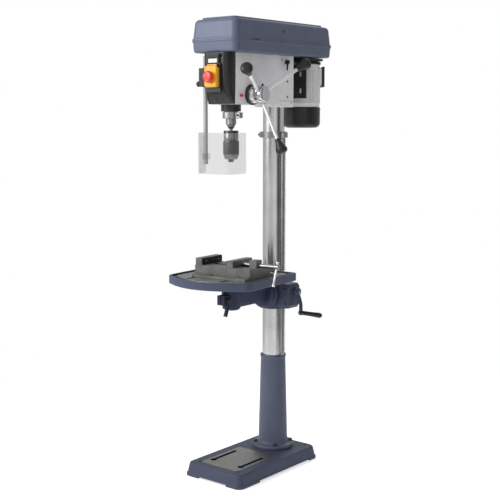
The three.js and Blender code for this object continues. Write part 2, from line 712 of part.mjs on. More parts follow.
function placeOnFeed(geometry, turn) {
  return geometry.rotateX(THREE.MathUtils.degToRad(turn)).translate(0, FEED_Y, FEED_Z);
}

function makeFeedArm(turn) {
  const tip = [ARM_KNOB[0] + 8, ARM_KNOB[1] + 18];
  const rod = armBar(ARM_ROOT, tip, 5.5, 5.5, 14);
  const hub = alongX(drum(29.3, 80, 140, 32));
  return placeOnFeed(cut(rod, hub), turn);
}

function makeFeedKnob(turn) {
  const [dx, dr] = [ARM_TIP[0] - ARM_KNOB[0], ARM_TIP[1] - ARM_KNOB[1]];
  const length = Math.hypot(dx, dr);
  const profile = [[5.8, 0], [9, 0], [10.5, 8], [13, 20], [18, 32], [21, 40], [21, 45], [17, 51],
    [9, length], [0, length],
    [0, 21], [5.8, 21], [5.8, 0]];
  const knob = turned(profile, 16);
  const way = new THREE.Vector3(dx, dr, 0).normalize();
  knob.applyQuaternion(new THREE.Quaternion().setFromUnitVectors(new THREE.Vector3(0, 0, 1), way));
  return placeOnFeed(knob.translate(ARM_KNOB[0], ARM_KNOB[1], 0), turn);
}

function makeTensionLever() {
  const bolt = alongX(drum(5.2, 47, HEAD_HALF + 14, 14));
  const hub = alongX(drum(8, HEAD_HALF + GAP, HEAD_HALF + 11, 18));
  const lever = bar([HEAD_HALF + 8, 0, 0], [HEAD_HALF + 14, -12, -29], 3.6, 3, 10);
  return join(bolt, hub, lever).translate(0, -6, 1490);
}

add("feed_hub", makeFeedHub(), chrome);
add("depth_dial", makeDepthDial(), charcoal);
ARM_TURNS.forEach((turn, i) => {
  add(`feed_arm_${i + 1}`, makeFeedArm(turn), chrome);
  add(`feed_knob_${i + 1}`, makeFeedKnob(turn), blackPlastic);
});
add("tension_lever", makeTensionLever(), blackPlastic);

// ---------------------------------------------------------------- table lift
const RACK_BACK = COLUMN_R + 0.6;
const RACK_TIP = 50.6;
const RACK_PITCH = RACK_TIP - ADDENDUM * LIFT_MODULE;
const GEAR_X = RACK_PITCH + (LIFT_TEETH * LIFT_MODULE) / 2;
const GEAR_Z = 626;

function makeRack() {
  const thickness = RACK_PITCH - RACK_BACK;
  const [foot, top] = [SUPPORT_TOP + GAP, COLLAR_Z - GAP];
  const upright = rackUpright(foot, top, thickness, LIFT_MODULE, GEAR_Z, RACK_PITCH);
  return plateAcrossX(upright, -9, 9).rotateZ(-Math.PI / 2);
}

function makeLiftGear() {
  const gear = plate(gearShape(LIFT_TEETH, LIFT_MODULE), -7, 7);
  return alongY(join(gear, drum(6, -22, 22, 16))).translate(GEAR_X, 0, GEAR_Z);
}

function makeBracket() {
  const [z0, z1] = [588, 684];
  const sleeve = drum(54, z0, z1, 32);
  const flange = alongY(turned([[0, FLANGE_Y], [56, FLANGE_Y], [58, FLANGE_Y + 2], [58, FLANGE_Y + 12],
    [50, FLANGE_Y + 22], [0, FLANGE_Y + 22]], 28)).translate(0, 0, TILT_Z);
  const pivot = alongY(drum(12, FLANGE_Y - 18, FLANGE_Y + 2, 24)).translate(0, 0, TILT_Z);
  const box = loft([
    roundedRing(20, 92, -32, 32, 8, 594),
    roundedRing(20, 99, -36, 36, 10, 606),
    roundedRing(20, 100, -36, 36, 10, 674),
    roundedRing(20, 95, -32, 32, 10, z1),
  ]);
  const boss = alongX(drum(15, 90, 102.5, 24)).translate(0, 0, CRANK_Z);
  const ears = block(-18, 18, 44, 76, 606, 662);
  const slit = block(-1.5, 1.5, 30, 80, z0 - 2, z1 + 2);
  const earBore = alongX(drum(5.6, -20, 20, 14)).translate(0, 65, TILT_Z - 14);
  const bore = drum(COLUMN_R + 0.5, z0 - 2, z1 + 30, 36);
  const rackSlot = block(36, RACK_TIP + 0.6, -9.6, 9.6, z0 - 2, z1 + 2);
  const gearPocket = alongY(drum(23.4, -7.6, 7.6, 20)).translate(GEAR_X, 0, GEAR_Z);
  const gearBore = alongY(drum(6.3, -23, 23, 16)).translate(GEAR_X, 0, GEAR_Z);
  const wormBore = alongX(drum(7.3, 50, 104, 20)).translate(0, 0, CRANK_Z);
  const casting = join(sleeve, flange, pivot, box, boss, ears);
  return cut(casting, bore, slit, earBore, rackSlot, gearPocket, gearBore, wormBore);
}

// The crank: a worm shaft, a hub, and an arm that swings out to its grip.
const CRANK_REACH = 77;

function makeCrank() {
  const shaft = alongX(drum(6.9, 53, 108, 20));
  const hub = alongX(turned([[0, 103], [13, 103], [14.5, 105], [14.5, 119], [12.5, 121], [0, 121]], 20));
  const sweep = new THREE.CatmullRomCurve3([
    new THREE.Vector3(113, 0, 0),
    new THREE.Vector3(114, 6, -18),
    new THREE.Vector3(121, 7, -38),
    new THREE.Vector3(126, 4, -58),
    new THREE.Vector3(127, 2, -CRANK_REACH + 4),
  ]);
  const section = polygon([[-4, -8], [4, -8], [5, -5], [5, 5], [4, 8], [-4, 8], [-5, 5], [-5, -5]]);
  const arm = new THREE.ExtrudeGeometry(section, { steps: 12, extrudePath: sweep, bevelEnabled: false });
  const eye = alongX(drum(9.5, 121.5, 132, 18)).translate(0, 2, -CRANK_REACH);
  const pin = alongX(drum(4, 130, 150, 14)).translate(0, 2, -CRANK_REACH);
  return join(shaft, hub, arm, eye, pin).translate(0, 0, CRANK_Z);
}

function makeCrankGrip() {
  const grip = turned([[4.4, 133], [7, 133], [8, 140], [8, 170], [9.6, 208], [8.6, 217], [5, 220], [0, 220],
    [0, 151.5], [4.4, 151.5], [4.4, 133]], 20);
  return alongX(grip).translate(0, 2, CRANK_Z - CRANK_REACH);
}

// A clamp bolt along X with a hub and a lever: hubX is the hub's inner face and way is +1 or -1.
function clampLever(hubX, way, boltFrom, leverTo, leverR) {
  const bolt = alongX(drum(5, Math.min(boltFrom, hubX), Math.max(boltFrom, hubX) + 0.1, 16));
  const hub = alongX(drum(9.5, Math.min(hubX, hubX + 16 * way), Math.max(hubX, hubX + 16 * way), 20));
  const lever = bar([hubX + 9 * way, 0, 0], leverTo, leverR, leverR + 0.8, 14);
  return join(bolt, hub, lever);
}

function makeColumnClamp() {
  return clampLever(-18 - GAP, -1, 17, [-52, 26, -58], 4.6).translate(0, 65, TILT_Z - 14);
}

add("rack", makeRack(), steel);
add("table_bracket", makeBracket(), bluePaint);
add("lift_gear", makeLiftGear(), steel);
add("crank", makeCrank(), bluePaint);
add("crank_grip", makeCrankGrip(), blackPlastic);
add("column_clamp", makeColumnClamp(), blackPlastic);

// ---------------------------------------------------------------- table
const ARM_TOP = 706.5;
const PIVOT_R = 16;

function makeTableArm() {
  const boss = turned([[0, 612], [26, 612], [32, 617], [34, 640], [36, 690], [40, 700],
    [40, ARM_TOP], [0, ARM_TOP]], 28)
    .translate(0, -THROAT, 0);
  const web = loft([
    roundedRing(-22, 22, -THROAT + 10, FLANGE_Y - 10, 6, 620),
    roundedRing(-26, 26, -THROAT + 10, FLANGE_Y - 10, 6, 632),
    roundedRing(-30, 30, -THROAT + 10, FLANGE_Y - 10, 6, 690),
    roundedRing(-34, 34, -THROAT + 10, FLANGE_Y - 14, 6, 696),
  ]);
  const flange = alongY(turned([[0, FLANGE_Y - 16], [48, FLANGE_Y - 16], [55, FLANGE_Y - 10],
    [55, FLANGE_Y - GAP], [0, FLANGE_Y - GAP]], 28)).translate(0, 0, TILT_Z);
  const ears = block(-17, 17, -THROAT - 58, -THROAT - 24, 634, 668);
  const slit = block(-1.5, 1.5, -THROAT - 60, -THROAT - 10, 600, 720);
  const earBore = alongX(drum(5.4, -18, 18, 14)).translate(0, -THROAT - 44, 651);
  const pivotBore = drum(PIVOT_R + GAP, 634, 720, 28).translate(0, -THROAT, 0);
  const tiltBore = alongY(drum(12.3, FLANGE_Y - 19, FLANGE_Y + 3, 24)).translate(0, 0, TILT_Z);
  return cut(join(boss, web, flange, ears), slit, earBore, pivotBore, tiltBore);
}

function makeTableLock() {
  return clampLever(17 + GAP, 1, -17, [29, -24, -52], 6.6).translate(0, -THROAT - 44, 651);
}

// The outline of the table about its pivot: straight sides, a bowed front and cut rear corners.
function tableShape(inset) {
  const half = 177 - inset;
  const rear = 160 - inset;
  const corner = -130 + inset * 0.4;
  const front = -214 + inset;
  const shape = new THREE.Shape();
  shape.moveTo(-half + 14, rear);
  shape.quadraticCurveTo(-half, rear, -half, rear - 14);
  shape.lineTo(-half, corner + 12);
  shape.quadraticCurveTo(-half, corner - 16, -half + 30, corner - 30);
  shape.quadraticCurveTo(0, front * 2 - corner + 30, half - 30, corner - 30);
  shape.quadraticCurveTo(half, corner - 16, half, corner + 12);
  shape.lineTo(half, rear - 14);
  shape.quadraticCurveTo(half, rear, half - 14, rear);
  shape.closePath();
  return shape;
}

const SLOT_X = 70;

function makeTable() {
  const skirt = TABLE_TOP - 29;
  const body = plate(tableShape(0), skirt, TABLE_TOP);
  const trough = cut(
    plate(tableShape(9), TABLE_TOP - 7, TABLE_TOP + 1),
    plate(tableShape(27), TABLE_TOP - 9, TABLE_TOP + 2),
  );
  const face = plate(tableShape(20), TABLE_TOP - 2, TABLE_TOP + 1);
  const under = plate(tableShape(11), skirt - 1, TABLE_TOP - 18);
  const ribs = [
    block(-170, 170, -5, 5, skirt + 2, TABLE_TOP - 16),
    block(-5, 5, -200, 155, skirt + 2, TABLE_TOP - 16),
  ];
  const hub = drum(44, ARM_TOP + GAP, TABLE_TOP - 14, 32);
  const pivot = drum(PIVOT_R, 640, TABLE_TOP - 14, 28);
  const slots = [];
  for (const x of [-SLOT_X, SLOT_X]) slots.push(block(x - 7, x + 7, -166, 120, skirt - 2, TABLE_TOP + 2));
  return cut(join(cut(body, trough, face, under), ...ribs, hub, pivot), ...slots);
}

const table = new THREE.Group();
table.position.set(0, -THROAT, 0);
table.rotation.z = TABLE_TURN;
machine.add(table);

add("table_arm", makeTableArm(), bluePaint);
add("table", makeTable(), bluePaint, table);
add("table_lock", makeTableLock(), blackPlastic);

// ---------------------------------------------------------------- vise, bolted on the table
const VISE_Z = TABLE_TOP - 2 + GAP;
const VISE_Y = -33; // middle of the vise, from the table's pivot
const VISE_X0 = -88;
const VISE_X1 = 145;
const JAW_HALF = 60;
const SCREW_Z = 785;
const JAW_X = 45; // face of the moving jaw

function makeViseBody() {
  const top = 778;
  const foot = loft([
    roundedRing(VISE_X0, VISE_X1, VISE_Y - 88, VISE_Y + 88, 8, VISE_Z),
    roundedRing(VISE_X0, VISE_X1, VISE_Y - 88, VISE_Y + 88, 8, VISE_Z + 9),
    roundedRing(VISE_X0, VISE_X1, VISE_Y - 66, VISE_Y + 66, 6, VISE_Z + 14),
  ]);
  const body = block(VISE_X0, VISE_X1, VISE_Y - 65, VISE_Y + 65, VISE_Z + 4, top);
  const jaw = block(VISE_X0, VISE_X0 + 26, VISE_Y - JAW_HALF, VISE_Y + JAW_HALF, top - 4, 802);
  const nut = block(112, 140, VISE_Y - 18, VISE_Y + 18, top - 4, 803);
  const way = block(VISE_X0 + 34, 104, VISE_Y - 14, VISE_Y + 14, VISE_Z + 14, top + 4);
  const feet = [-78, 78].map((side) =>
    block(-8, 62, VISE_Y + side - 7, VISE_Y + side + 7, VISE_Z - 4, VISE_Z + 20),
  );
  const screwBore = alongX(drum(7.8, 100, 150, 20)).translate(0, VISE_Y, SCREW_Z);
  return cut(join(foot, body, jaw, nut), way, ...feet, screwBore);
}

function makeViseJaw() {
  const jaw = block(JAW_X, JAW_X + 26, VISE_Y - JAW_HALF, VISE_Y + JAW_HALF, 778 + GAP, 801);
  const guide = block(JAW_X + 2, JAW_X + 24, VISE_Y - 13.5, VISE_Y + 13.5, 764, 779);
  const socket = alongX(drum(6.2, JAW_X + 14, JAW_X + 30, 18)).translate(0, VISE_Y, SCREW_Z);
  return cut(join(jaw, guide), socket);
}

const BAR_LEAN = THREE.MathUtils.degToRad(20); // top of the bar away from the operator

function makeViseScrew() {
  const screw = alongX(turned([[0, JAW_X + 15], [5.8, JAW_X + 15], [5.8, JAW_X + 27], [7.2, JAW_X + 28],
    [7.2, 202], [9, 203], [9, 222], [7.5, 224], [0, 224]], 18));
  const eye = drum(3.7, -12, 12, 14).rotateX(-BAR_LEAN).translate(213, 0, 0);
  return cut(screw, eye).translate(0, VISE_Y, SCREW_Z);
}

function makeViseBar() {
  const rod = turned([[0, -68], [4.6, -67], [5, -64], [4.6, -61], [3.4, -60], [3.4, 10.4], [4.6, 11.4],
    [5, 14.4], [4.6, 17.4], [0, 18.4]], 14);
  return rod.rotateX(-BAR_LEAN).translate(213, VISE_Y, SCREW_Z);
}

add("vise_body", makeViseBody(), iron, table);
add("vise_jaw", makeViseJaw(), iron, table);
add("vise_screw", makeViseScrew(), steel, table);
add("vise_bar", makeViseBar(), chrome, table);

// ---------------------------------------------------------------- switch
const SWITCH_Y = -331.4; // back of the switch, on the front cover
const STOP_Z = 1429;

function makeSwitchBox() {
  const back = block(-32, 32, SWITCH_Y - 6, SWITCH_Y, 1378, 1474);
  const face = block(-23.5, 23.5, SWITCH_Y - 9, SWITCH_Y - 5, 1399, 1462);
  const hinge = [-27, 21].map((x) => alongX(drum(3.4, x, x + 6, 12)).translate(0, SWITCH_Y - 10.2, 1469));
  const ears = [-27, 21].map((x) => block(x, x + 6, SWITCH_Y - 10.2, SWITCH_Y - 5, 1466, 1472));
  const wells = [1421, 1450].map((z) =>
    alongY(drum(10.4, SWITCH_Y - 12, SWITCH_Y - 2, 20)).translate(0, 0, z),
  );
  return cut(join(back, face, ...hinge, ...ears), ...wells);
}

function makeSwitchButton(z) {
  return alongY(turned([[0, SWITCH_Y - 12], [9, SWITCH_Y - 12], [10, SWITCH_Y - 11], [10, SWITCH_Y - 6.4],
    [0, SWITCH_Y - 6.4]], 20)).translate(0, 0, z);
}

function makeSwitchLid() {
  const [y0, y1] = [SWITCH_Y - 22, SWITCH_Y - 6.4];
  const shell = loft([
    roundedRing(-28, 28, 0, 73, 7, 0),
    roundedRing(-28, 28, 0, 73, 7, 11),
    roundedRing(-25, 25, 3, 70, 6, y1 - y0),
  ]);
  const hollow = loft([roundedRing(-25, 25, 3, 70, 5, -1), roundedRing(-25, 25, 3, 70, 5, y1 - y0 - 3)]);
  const lid = cut(shell, hollow).rotateX(Math.PI / 2).translate(0, y1, 1394);
  const barrel = alongX(drum(3.2, -20.4, 20.4, 12)).translate(0, SWITCH_Y - 10.2, 1469);
  const stem = alongY(drum(6.6, y0 - 2, y0 + 5, 18)).translate(0, 0, STOP_Z);
  const notches = [-28.5, 20.7].map((x) => block(x, x + 7.8, SWITCH_Y - 14.5, SWITCH_Y - 5, 1460, 1475));
  return cut(join(lid, barrel), stem, ...notches);
}

function makeStopKnob() {
  const y = SWITCH_Y - 22;
  return alongY(turned([[0, y - 18], [11, y - 18], [17.5, y - 15.5], [20, y - 11], [19, y - 6.5],
    [10, y - 5.5],
    [6.2, y - 5.5], [6.2, y + 9], [0, y + 9]], 20)).translate(0, 0, STOP_Z);
}

add("switch_box", makeSwitchBox(), bluePaint);
add("switch_lid", makeSwitchLid(), yellow);
add("stop_knob", makeStopKnob(), red);
add("start_button", makeSwitchButton(1450), green);
add("stop_button", makeSwitchButton(1421), red);

// ---------------------------------------------------------------- chuck guard
const ROD_R = 8;
const GUARD_Z = [1098, 1240];

function makeGuardHolder() {
  const holder = block(-88, -HEAD_HALF - GAP, ROD_Y - 14, ROD_Y + 14, 1398, 1462);
  const bore = drum(ROD_R + 0.4, 1390, 1470, 24).translate(ROD_X, ROD_Y, 0);
  const screwBore = alongX(drum(3.4, -95, ROD_X, 12)).translate(0, ROD_Y, 1408);
  return cut(holder, bore, screwBore);
}

function makeGuardKnob() {
  const knob = alongX(turned([[0, 78.8], [3, 78.8], [3, 90], [6, 91], [9.5, 95], [10, 101], [7, 106],
    [0, 107]], 18));
  return knob.rotateZ(Math.PI).translate(0, ROD_Y, 1408);
}

function makeGuardRod() {
  return turned([[0, 1130], [9, 1130], [9, 1141], [ROD_R, 1142], [ROD_R, 1500], [6, 1503], [0, 1503]], 24)
    .translate(ROD_X, ROD_Y, 0);
}

// A bent clear sheet: a flange beside the post, a front and a right side.
function makeGuard() {
  const [x0, x1, front, side] = [ROD_X - 12, 66, ROD_Y - 36, -240];
  const wall = (inset) => {
    const path = new THREE.Path();
    const r = 16 - inset;
    path.moveTo(x0 + inset, ROD_Y + 12);
    path.lineTo(x0 + inset, front + 16);
    path.absarc(x0 + 16, front + 16, r, Math.PI, 1.5 * Math.PI, false);
    path.absarc(x1 - 16, front + 16, r, 1.5 * Math.PI, 2 * Math.PI, false);
    path.lineTo(x1 - inset, side);
    return path.getPoints(5);
  };
  const outline = new THREE.Shape([...wall(0), ...wall(3).reverse()]);
  const sheet = plate(outline, GUARD_Z[0], GUARD_Z[1]);
  const clip = block(x0 + 2, ROD_X + 13, ROD_Y - 12, ROD_Y + 12, 1146, 1168);
  return cut(join(sheet, clip), drum(ROD_R + GAP, 1140, 1172, 24).translate(ROD_X, ROD_Y, 0));
}

add("guard_holder", makeGuardHolder(), blackPlastic);
add("guard_knob", makeGuardKnob(), blackPlastic);
add("guard_rod", makeGuardRod(), steel);
add("guard", makeGuard(), acrylic);

export default machine;
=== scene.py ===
"""A floor-standing drill press, as a studio picture.

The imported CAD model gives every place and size. The machine is described about its column:
x, y and z in millimetres from the foot of the column's axis, with the operator at -y.
"""
import json
from math import atan2, copysign, cos, inf, pi, radians, sin, sqrt

import bmesh
import bpy
from mathutils import Matrix, Vector


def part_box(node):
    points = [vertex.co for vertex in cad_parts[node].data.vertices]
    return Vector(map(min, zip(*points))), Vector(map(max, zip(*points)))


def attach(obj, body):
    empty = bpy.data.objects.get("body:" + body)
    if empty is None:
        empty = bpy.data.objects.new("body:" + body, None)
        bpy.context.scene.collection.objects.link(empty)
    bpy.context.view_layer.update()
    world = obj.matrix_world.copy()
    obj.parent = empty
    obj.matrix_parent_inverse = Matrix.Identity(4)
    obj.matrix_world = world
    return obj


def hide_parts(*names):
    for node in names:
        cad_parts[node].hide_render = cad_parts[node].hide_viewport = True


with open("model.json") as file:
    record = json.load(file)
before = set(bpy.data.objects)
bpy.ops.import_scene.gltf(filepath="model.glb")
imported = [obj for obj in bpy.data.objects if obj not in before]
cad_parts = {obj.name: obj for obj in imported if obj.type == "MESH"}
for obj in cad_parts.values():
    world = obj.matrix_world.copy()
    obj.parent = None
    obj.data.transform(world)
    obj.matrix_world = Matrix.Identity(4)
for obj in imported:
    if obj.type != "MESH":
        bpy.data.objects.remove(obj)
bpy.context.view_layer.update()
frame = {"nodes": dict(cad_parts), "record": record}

MM = 0.001
RECORD = frame["record"]
BODY_OF = {node: body for body, nodes in RECORD["behaviour"]["bodies"].items() for node in nodes}
SLOT_OF = {part["node"]: part["material_slot"] for part in RECORD["subparts"]}
UP, RIGHT, LEFT, BACK, FRONT = (0, 0, 1), (1, 0, 0), (-1, 0, 0), (0, 1, 0), (0, -1, 0)
column_low, column_high = (Vector(corner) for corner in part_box("column"))
ORIGIN = Vector(((column_low.x + column_high.x) / 2, (column_low.y + column_high.y) / 2, 0))
TO_METRES = Matrix.Translation(ORIGIN) @ Matrix.Scale(MM, 4)
link = bpy.context.scene.collection.objects.link


def at(x, y, z):
    """A place in metres in the row frame, from millimetres about the column."""
    return ORIGIN + Vector((x, y, z)) * MM


def span(node):
    """The lowest and highest corners of a CAD node, in millimetres about the column."""
    low, high = (Vector(corner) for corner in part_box(node))
    return (low - ORIGIN) / MM, (high - ORIGIN) / MM


def middle(node):
    low, high = span(node)
    return (low + high) / 2


# ---- driving sizes
COLUMN_R = (column_high.x - column_low.x) / MM / 2
SPINDLE_Y = middle("chuck_sleeve").y
FEED_Y = middle("depth_dial").y
FEED_Z = middle("depth_dial").z
HEAD_LOW, HEAD_HIGH = span("head_casting")
SIDE_X = 60  # right side of the head
PAN_LOW, PAN_HIGH = span("belt_pan")
BASE_LOW, BASE_HIGH = span("base")
BASE_TOP = BASE_HIGH.z - 2
TABLE_TOP = span("table")[1].z
TABLE_TURN = radians(5)
SLOT_HALF = 7  # half the width of the clamping slots
BASE_SLOT_X = 65
SLOT_FRONT = -270  # centre of the round hole that ends a base slot
COLLAR_SCREW_TURN = radians(219)
GUIDE_X, GUIDE_Z = 38, 1490  # the motor mount's two guide bars
BOLT_ROWS = (1390, 1451)  # heights of the motor's bolts
DIAGONALS = [radians(degrees) for degrees in (45, 135, 225, 315)]
CRANK_Z = 656
VISE_Y, VISE_Z = -33, 785  # axis of the vise screw, from the table's pivot
GUARD_SIDE_REAR = -240
# soft boxes and dark gaps round the room: direction in degrees from +x, brightness
ROOM = ((-180, 0.7), (-128, 0.95), (-92, 0.8), (-62, 0.92), (-36, 1.15), (-22, 1.0),
        (-12, 0.08), (14, 0.08), (24, 0.72), (60, 0.66), (90, 0.9), (180, 0.7))


# ---- materials
class Nodes:
    """A material's node tree, with short calls for the nodes used here."""

    def __init__(self, name, color, roughness, metallic=0.0):
        self.rgb = color
        self.material = bpy.data.materials.new(name)
        self.material.use_nodes = True
        self.tree = self.material.node_tree
        self.shader = self.tree.nodes["Principled BSDF"]
        self.put({"Base Color": (*color, 1), "Roughness": roughness, "Metallic": metallic})
        self.place = self.tree.nodes.new("ShaderNodeTexCoord").outputs["Object"]

    def put(self, values, node=None):
        """Sets sockets by name, on the shader if no other node is given."""
        for socket, value in values.items():
            (node or self.shader).inputs[socket].default_value = value

    def new(self, kind, values, source, socket):
        """A node with its sockets set and a source linked to one of them."""
        node = self.tree.nodes.new("ShaderNode" + kind)
        self.put(values, node)
        self.link(source, node.inputs[socket])
        return node

    def link(self, source, target):
        self.tree.links.new(source, target)

    def noise(self, scale, detail=3.0, stretch=(1, 1, 1)):
        mapping = self.new("Mapping", {"Scale": stretch}, self.place, "Vector")
        noise = self.new("TexNoise", {"Scale": scale, "Detail": detail}, mapping.outputs["Vector"], "Vector")
        return noise.outputs["Fac"]

    def mottle(self, scale, detail, dark, light):
        """Lets the base colour vary between two shades of itself."""
        ramp = self.new("ValToRGB", {}, self.noise(scale, detail), "Fac")
        for element, position, factor in zip(ramp.color_ramp.elements, (0.3, 0.7), (dark, light)):
            element.position = position
            element.color = (*(min(1.0, channel * factor) for channel in self.rgb), 1)
        self.link(ramp.outputs["Color"], self.shader.inputs["Base Color"])

    def roughness(self, source, low, high):
        limits = {"From Min": 0.3, "From Max": 0.7, "To Min": low, "To Max": high}
        spread = self.new("MapRange", limits, source, "Value")
        self.link(spread.outputs["Result"], self.shader.inputs["Roughness"])

    def bump(self, source, height_mm, strength=1.0):
        bump = self.new("Bump", {"Strength": strength, "Distance": height_mm * MM}, source, "Height")
        if self.shader.inputs["Normal"].links:
            self.link(self.shader.inputs["Normal"].links[0].from_socket, bump.inputs["Normal"])
        self.link(bump.outputs["Normal"], self.shader.inputs["Normal"])


def heading(angle):
    return Vector((cos(angle), sin(angle), 0))


def turns(count):
    """Equal steps once round, as angles."""
    return [2 * pi * i / count for i in range(count)]


def quarter(steps):
    """Equal steps through a quarter turn, as angles."""
    return [radians(90 * i / steps) for i in range(steps + 1)]


def grey(level):
    return (level, level, level)


def painted(name, color, roughness, peel=0.05, coat=0.25):
    """Sprayed enamel: orange peel, cloudy gloss and a slightly uneven colour."""
    m = Nodes(name, color, roughness)
    m.mottle(9, 4, 0.9, 1.08)
    m.roughness(m.noise(60, 3), roughness - 0.07, roughness + 0.1)
    m.bump(m.noise(420, 2), peel, 0.5)
    m.put({"Coat Weight": coat, "Coat Roughness": 0.25})
    return m.material


def hammered(name, color, roughness):
    """Hammered machine enamel over a casting: shallow dimples and a soft sheen."""
    m = Nodes(name, color, roughness)
    dimple = m.new("TexVoronoi", {"Scale": 260}, m.place, "Vector")
    dimple.feature = "SMOOTH_F1"
    m.mottle(14, 5, 0.94, 1.06)
    m.roughness(m.noise(240, 3), roughness - 0.05, roughness + 0.1)
    m.bump(dimple.outputs["Distance"], 0.3, 0.35)
    m.bump(m.noise(35, 3), 0.2, 0.15)
    m.put({"Specular IOR Level": 0.32})
    return m.material


def metal(name, color, roughness, stretch=(1, 1, 1), scale=500, groove=0.01, cloudy=0.1):
    """Ground or turned metal: fine tool marks drawn out along one direction."""
    m = Nodes(name, color, roughness, 1.0)
    marks = m.noise(scale, 3, stretch)
    m.mottle(20, 4, 0.9, 1.05)
    m.roughness(marks, max(0.04, roughness - cloudy), roughness + cloudy)
    m.bump(marks, groove, 0.6)
    return m.material


def cast_iron(name, color, roughness):
    """Bare machined iron: open grain, blotchy colour."""
    m = Nodes(name, color, roughness, 0.75)
    m.mottle(26, 6, 0.72, 1.2)
    m.roughness(m.noise(120, 4), roughness - 0.1, roughness + 0.15)
    m.bump(m.noise(700, 3), 0.06, 0.8)
    return m.material


def moulded(name, color, roughness, grain=0.03, scale=900):
    """Injection-moulded plastic with a fine spark-eroded grain."""
    m = Nodes(name, color, roughness)
    m.mottle(30, 3, 0.9, 1.12)
    m.roughness(m.noise(150, 2), roughness - 0.05, roughness + 0.08)
    m.bump(m.noise(scale, 2), grain, 0.7)
    if max(color) < 0.05:
        m.put({"Specular IOR Level": 0.3})
    return m.material


def clear_sheet(name, color):
    """Clear plastic with a light smoke tint and fine wiping marks; each wall is crossed at two faces."""
    m = Nodes(name, color, 0.2)
    m.roughness(m.noise(90, 4, (1, 1, 0.2)), 0.12, 0.3)
    m.mottle(14, 3, 0.97, 1)
    m.put({"Alpha": 0.2, "IOR": 1.49})
    m.material.surface_render_method = "BLENDED"
    return m.material


FINISHES = {slot: (material, slot) for slot, material in {
    "blue_paint": hammered("blue hammered enamel", (0.076, 0.089, 0.133), 0.46),
    "grey_paint": painted("light grey enamel", grey(0.80), 0.42),
    "steel": metal("ground steel", (0.37, 0.37, 0.36), 0.38, (1, 1, 0.12)),
    "chrome": metal("polished chrome", (0.60, 0.60, 0.61), 0.14, cloudy=0.05, groove=0.002),
    "iron": cast_iron("machined cast iron", (0.185, 0.185, 0.176), 0.5),
    "charcoal": moulded("charcoal plastic", grey(0.026), 0.32, 0.03, 600),
    "black_plastic": moulded("black plastic", grey(0.023), 0.34),
    "black_paint": painted("satin black enamel", (0.007, 0.007, 0.008), 0.6, coat=0.0),
    "yellow_plastic": moulded("yellow plastic", (0.86, 0.38, 0.01), 0.35),
    "red_plastic": moulded("red plastic", (0.70, 0.035, 0.025), 0.35),
    "green_plastic": moulded("green plastic", (0.02, 0.22, 0.05), 0.35),
    "belt_rubber": moulded("belt rubber", grey(0.012), 0.75, 0.1, 400),
    "clear_plastic": clear_sheet("tinted clear plastic", (0.26, 0.26, 0.27)),
}.items()}
# finishes that differ from their slot's usual one
FINISHES |= {
    "column_steel": (metal("drawn column tube", grey(0.64), 0.26, (1, 1, 0.04), 220, 0.004, 0.04), "steel"),
    "turned_steel": (metal("turned steel", (0.32, 0.32, 0.315), 0.38, (1, 1, 12), 300, 0.012), "steel"),
    "planed_iron": (metal("planed iron", (0.25, 0.25, 0.24), 0.42, (1, 14, 1), 120, 0.02, 0.12), "iron"),
    "bright_rod": (metal("bright drawn rod", grey(0.94), 0.48, (1, 1, 1), 300, 0.006), "chrome"),
    "zinc_rod": (painted("dull zinc plate", grey(0.42), 0.5, coat=0.0), "steel"),
    # the trough finish is a blue-black that stands in for shade: painted shade inside the table's trough and the
    # base's slots
    "trough": (painted("oily trough", (0.014, 0.017, 0.034), 0.4, coat=0.0), "blue_paint"),
    "dark_steel": (metal("blued steel", grey(0.095), 0.42, (1, 1, 4), 400, 0.02), "steel"),
    "jaw_steel": (metal("hardened jaw steel", grey(0.038), 0.42, (1, 1, 4), 400, 0.02), "steel"),
    "pale_red": (moulded("pale red print", (0.82, 0.16, 0.13), 0.4), "red_plastic"),
    "grey_plastic": (moulded("grey plastic", grey(0.045), 0.45, 0.03, 700), "charcoal"),
    "label": (moulded("blank label", (0.78, 0.78, 0.77), 0.5, 0.01), "steel"),
}
# copies of one blue enamel at different lightness: the lit cover blue is a lighter copy, painted light on the belt
# cover; the shaded base blue, shaded table blue, navy and shaded navy are darker copies, painted shade on the base,
# the table, its bracket and crank, and the arm under the table. The navy copies are also a more saturated blue, as
# those parts are.
for blue, color, roughness in (
    ("cover blue", (0.116, 0.136, 0.202), 0.42), ("base blue", (0.046, 0.054, 0.092), 0.5),
    ("navy", (0.048, 0.058, 0.100), 0.45), ("deep navy", (0.025, 0.031, 0.070), 0.5),
    ("table blue", (0.062, 0.073, 0.122), 0.42),
):
    FINISHES[blue.replace(" ", "_")] = (hammered(blue + " hammered enamel", color, roughness), "blue_paint")


# ---- mesh code
def ring_of(x0, x1, y0, y1, radius, z, arc=8):
    """A rounded rectangle at height z, anticlockwise from above."""
    points = []
    left, right, front, rear = x0 + radius, x1 - radius, y0 + radius, y1 - radius
    for corner, (cx, cy) in enumerate(((right, rear), (left, rear), (left, front), (right, front))):
        for i in range(arc + 1):
            angle = (corner + i / arc) * pi / 2
            points.append(Vector((cx + radius * cos(angle), cy + radius * sin(angle), z)))
    return points


def skin(bm, rings):
    """Faces between rings of equally many points, with end caps."""
    loops = [[bm.verts.new(point) for point in ring] for ring in rings]
    count = len(loops[0])
    for lower, upper in zip(loops, loops[1:]):
        for i in range(count):
            j = (i + 1) % count
            bm.faces.new((lower[i], lower[j], upper[j], upper[i]))
    bm.faces.new(list(reversed(loops[0])))
    bm.faces.new(loops[-1])
    return bm


def loft(rows, ring=None):
    """A solid through rings of points; with a ring function, each row holds its arguments."""
    return skin(bmesh.new(), [ring(*row) for row in rows] if ring else rows)


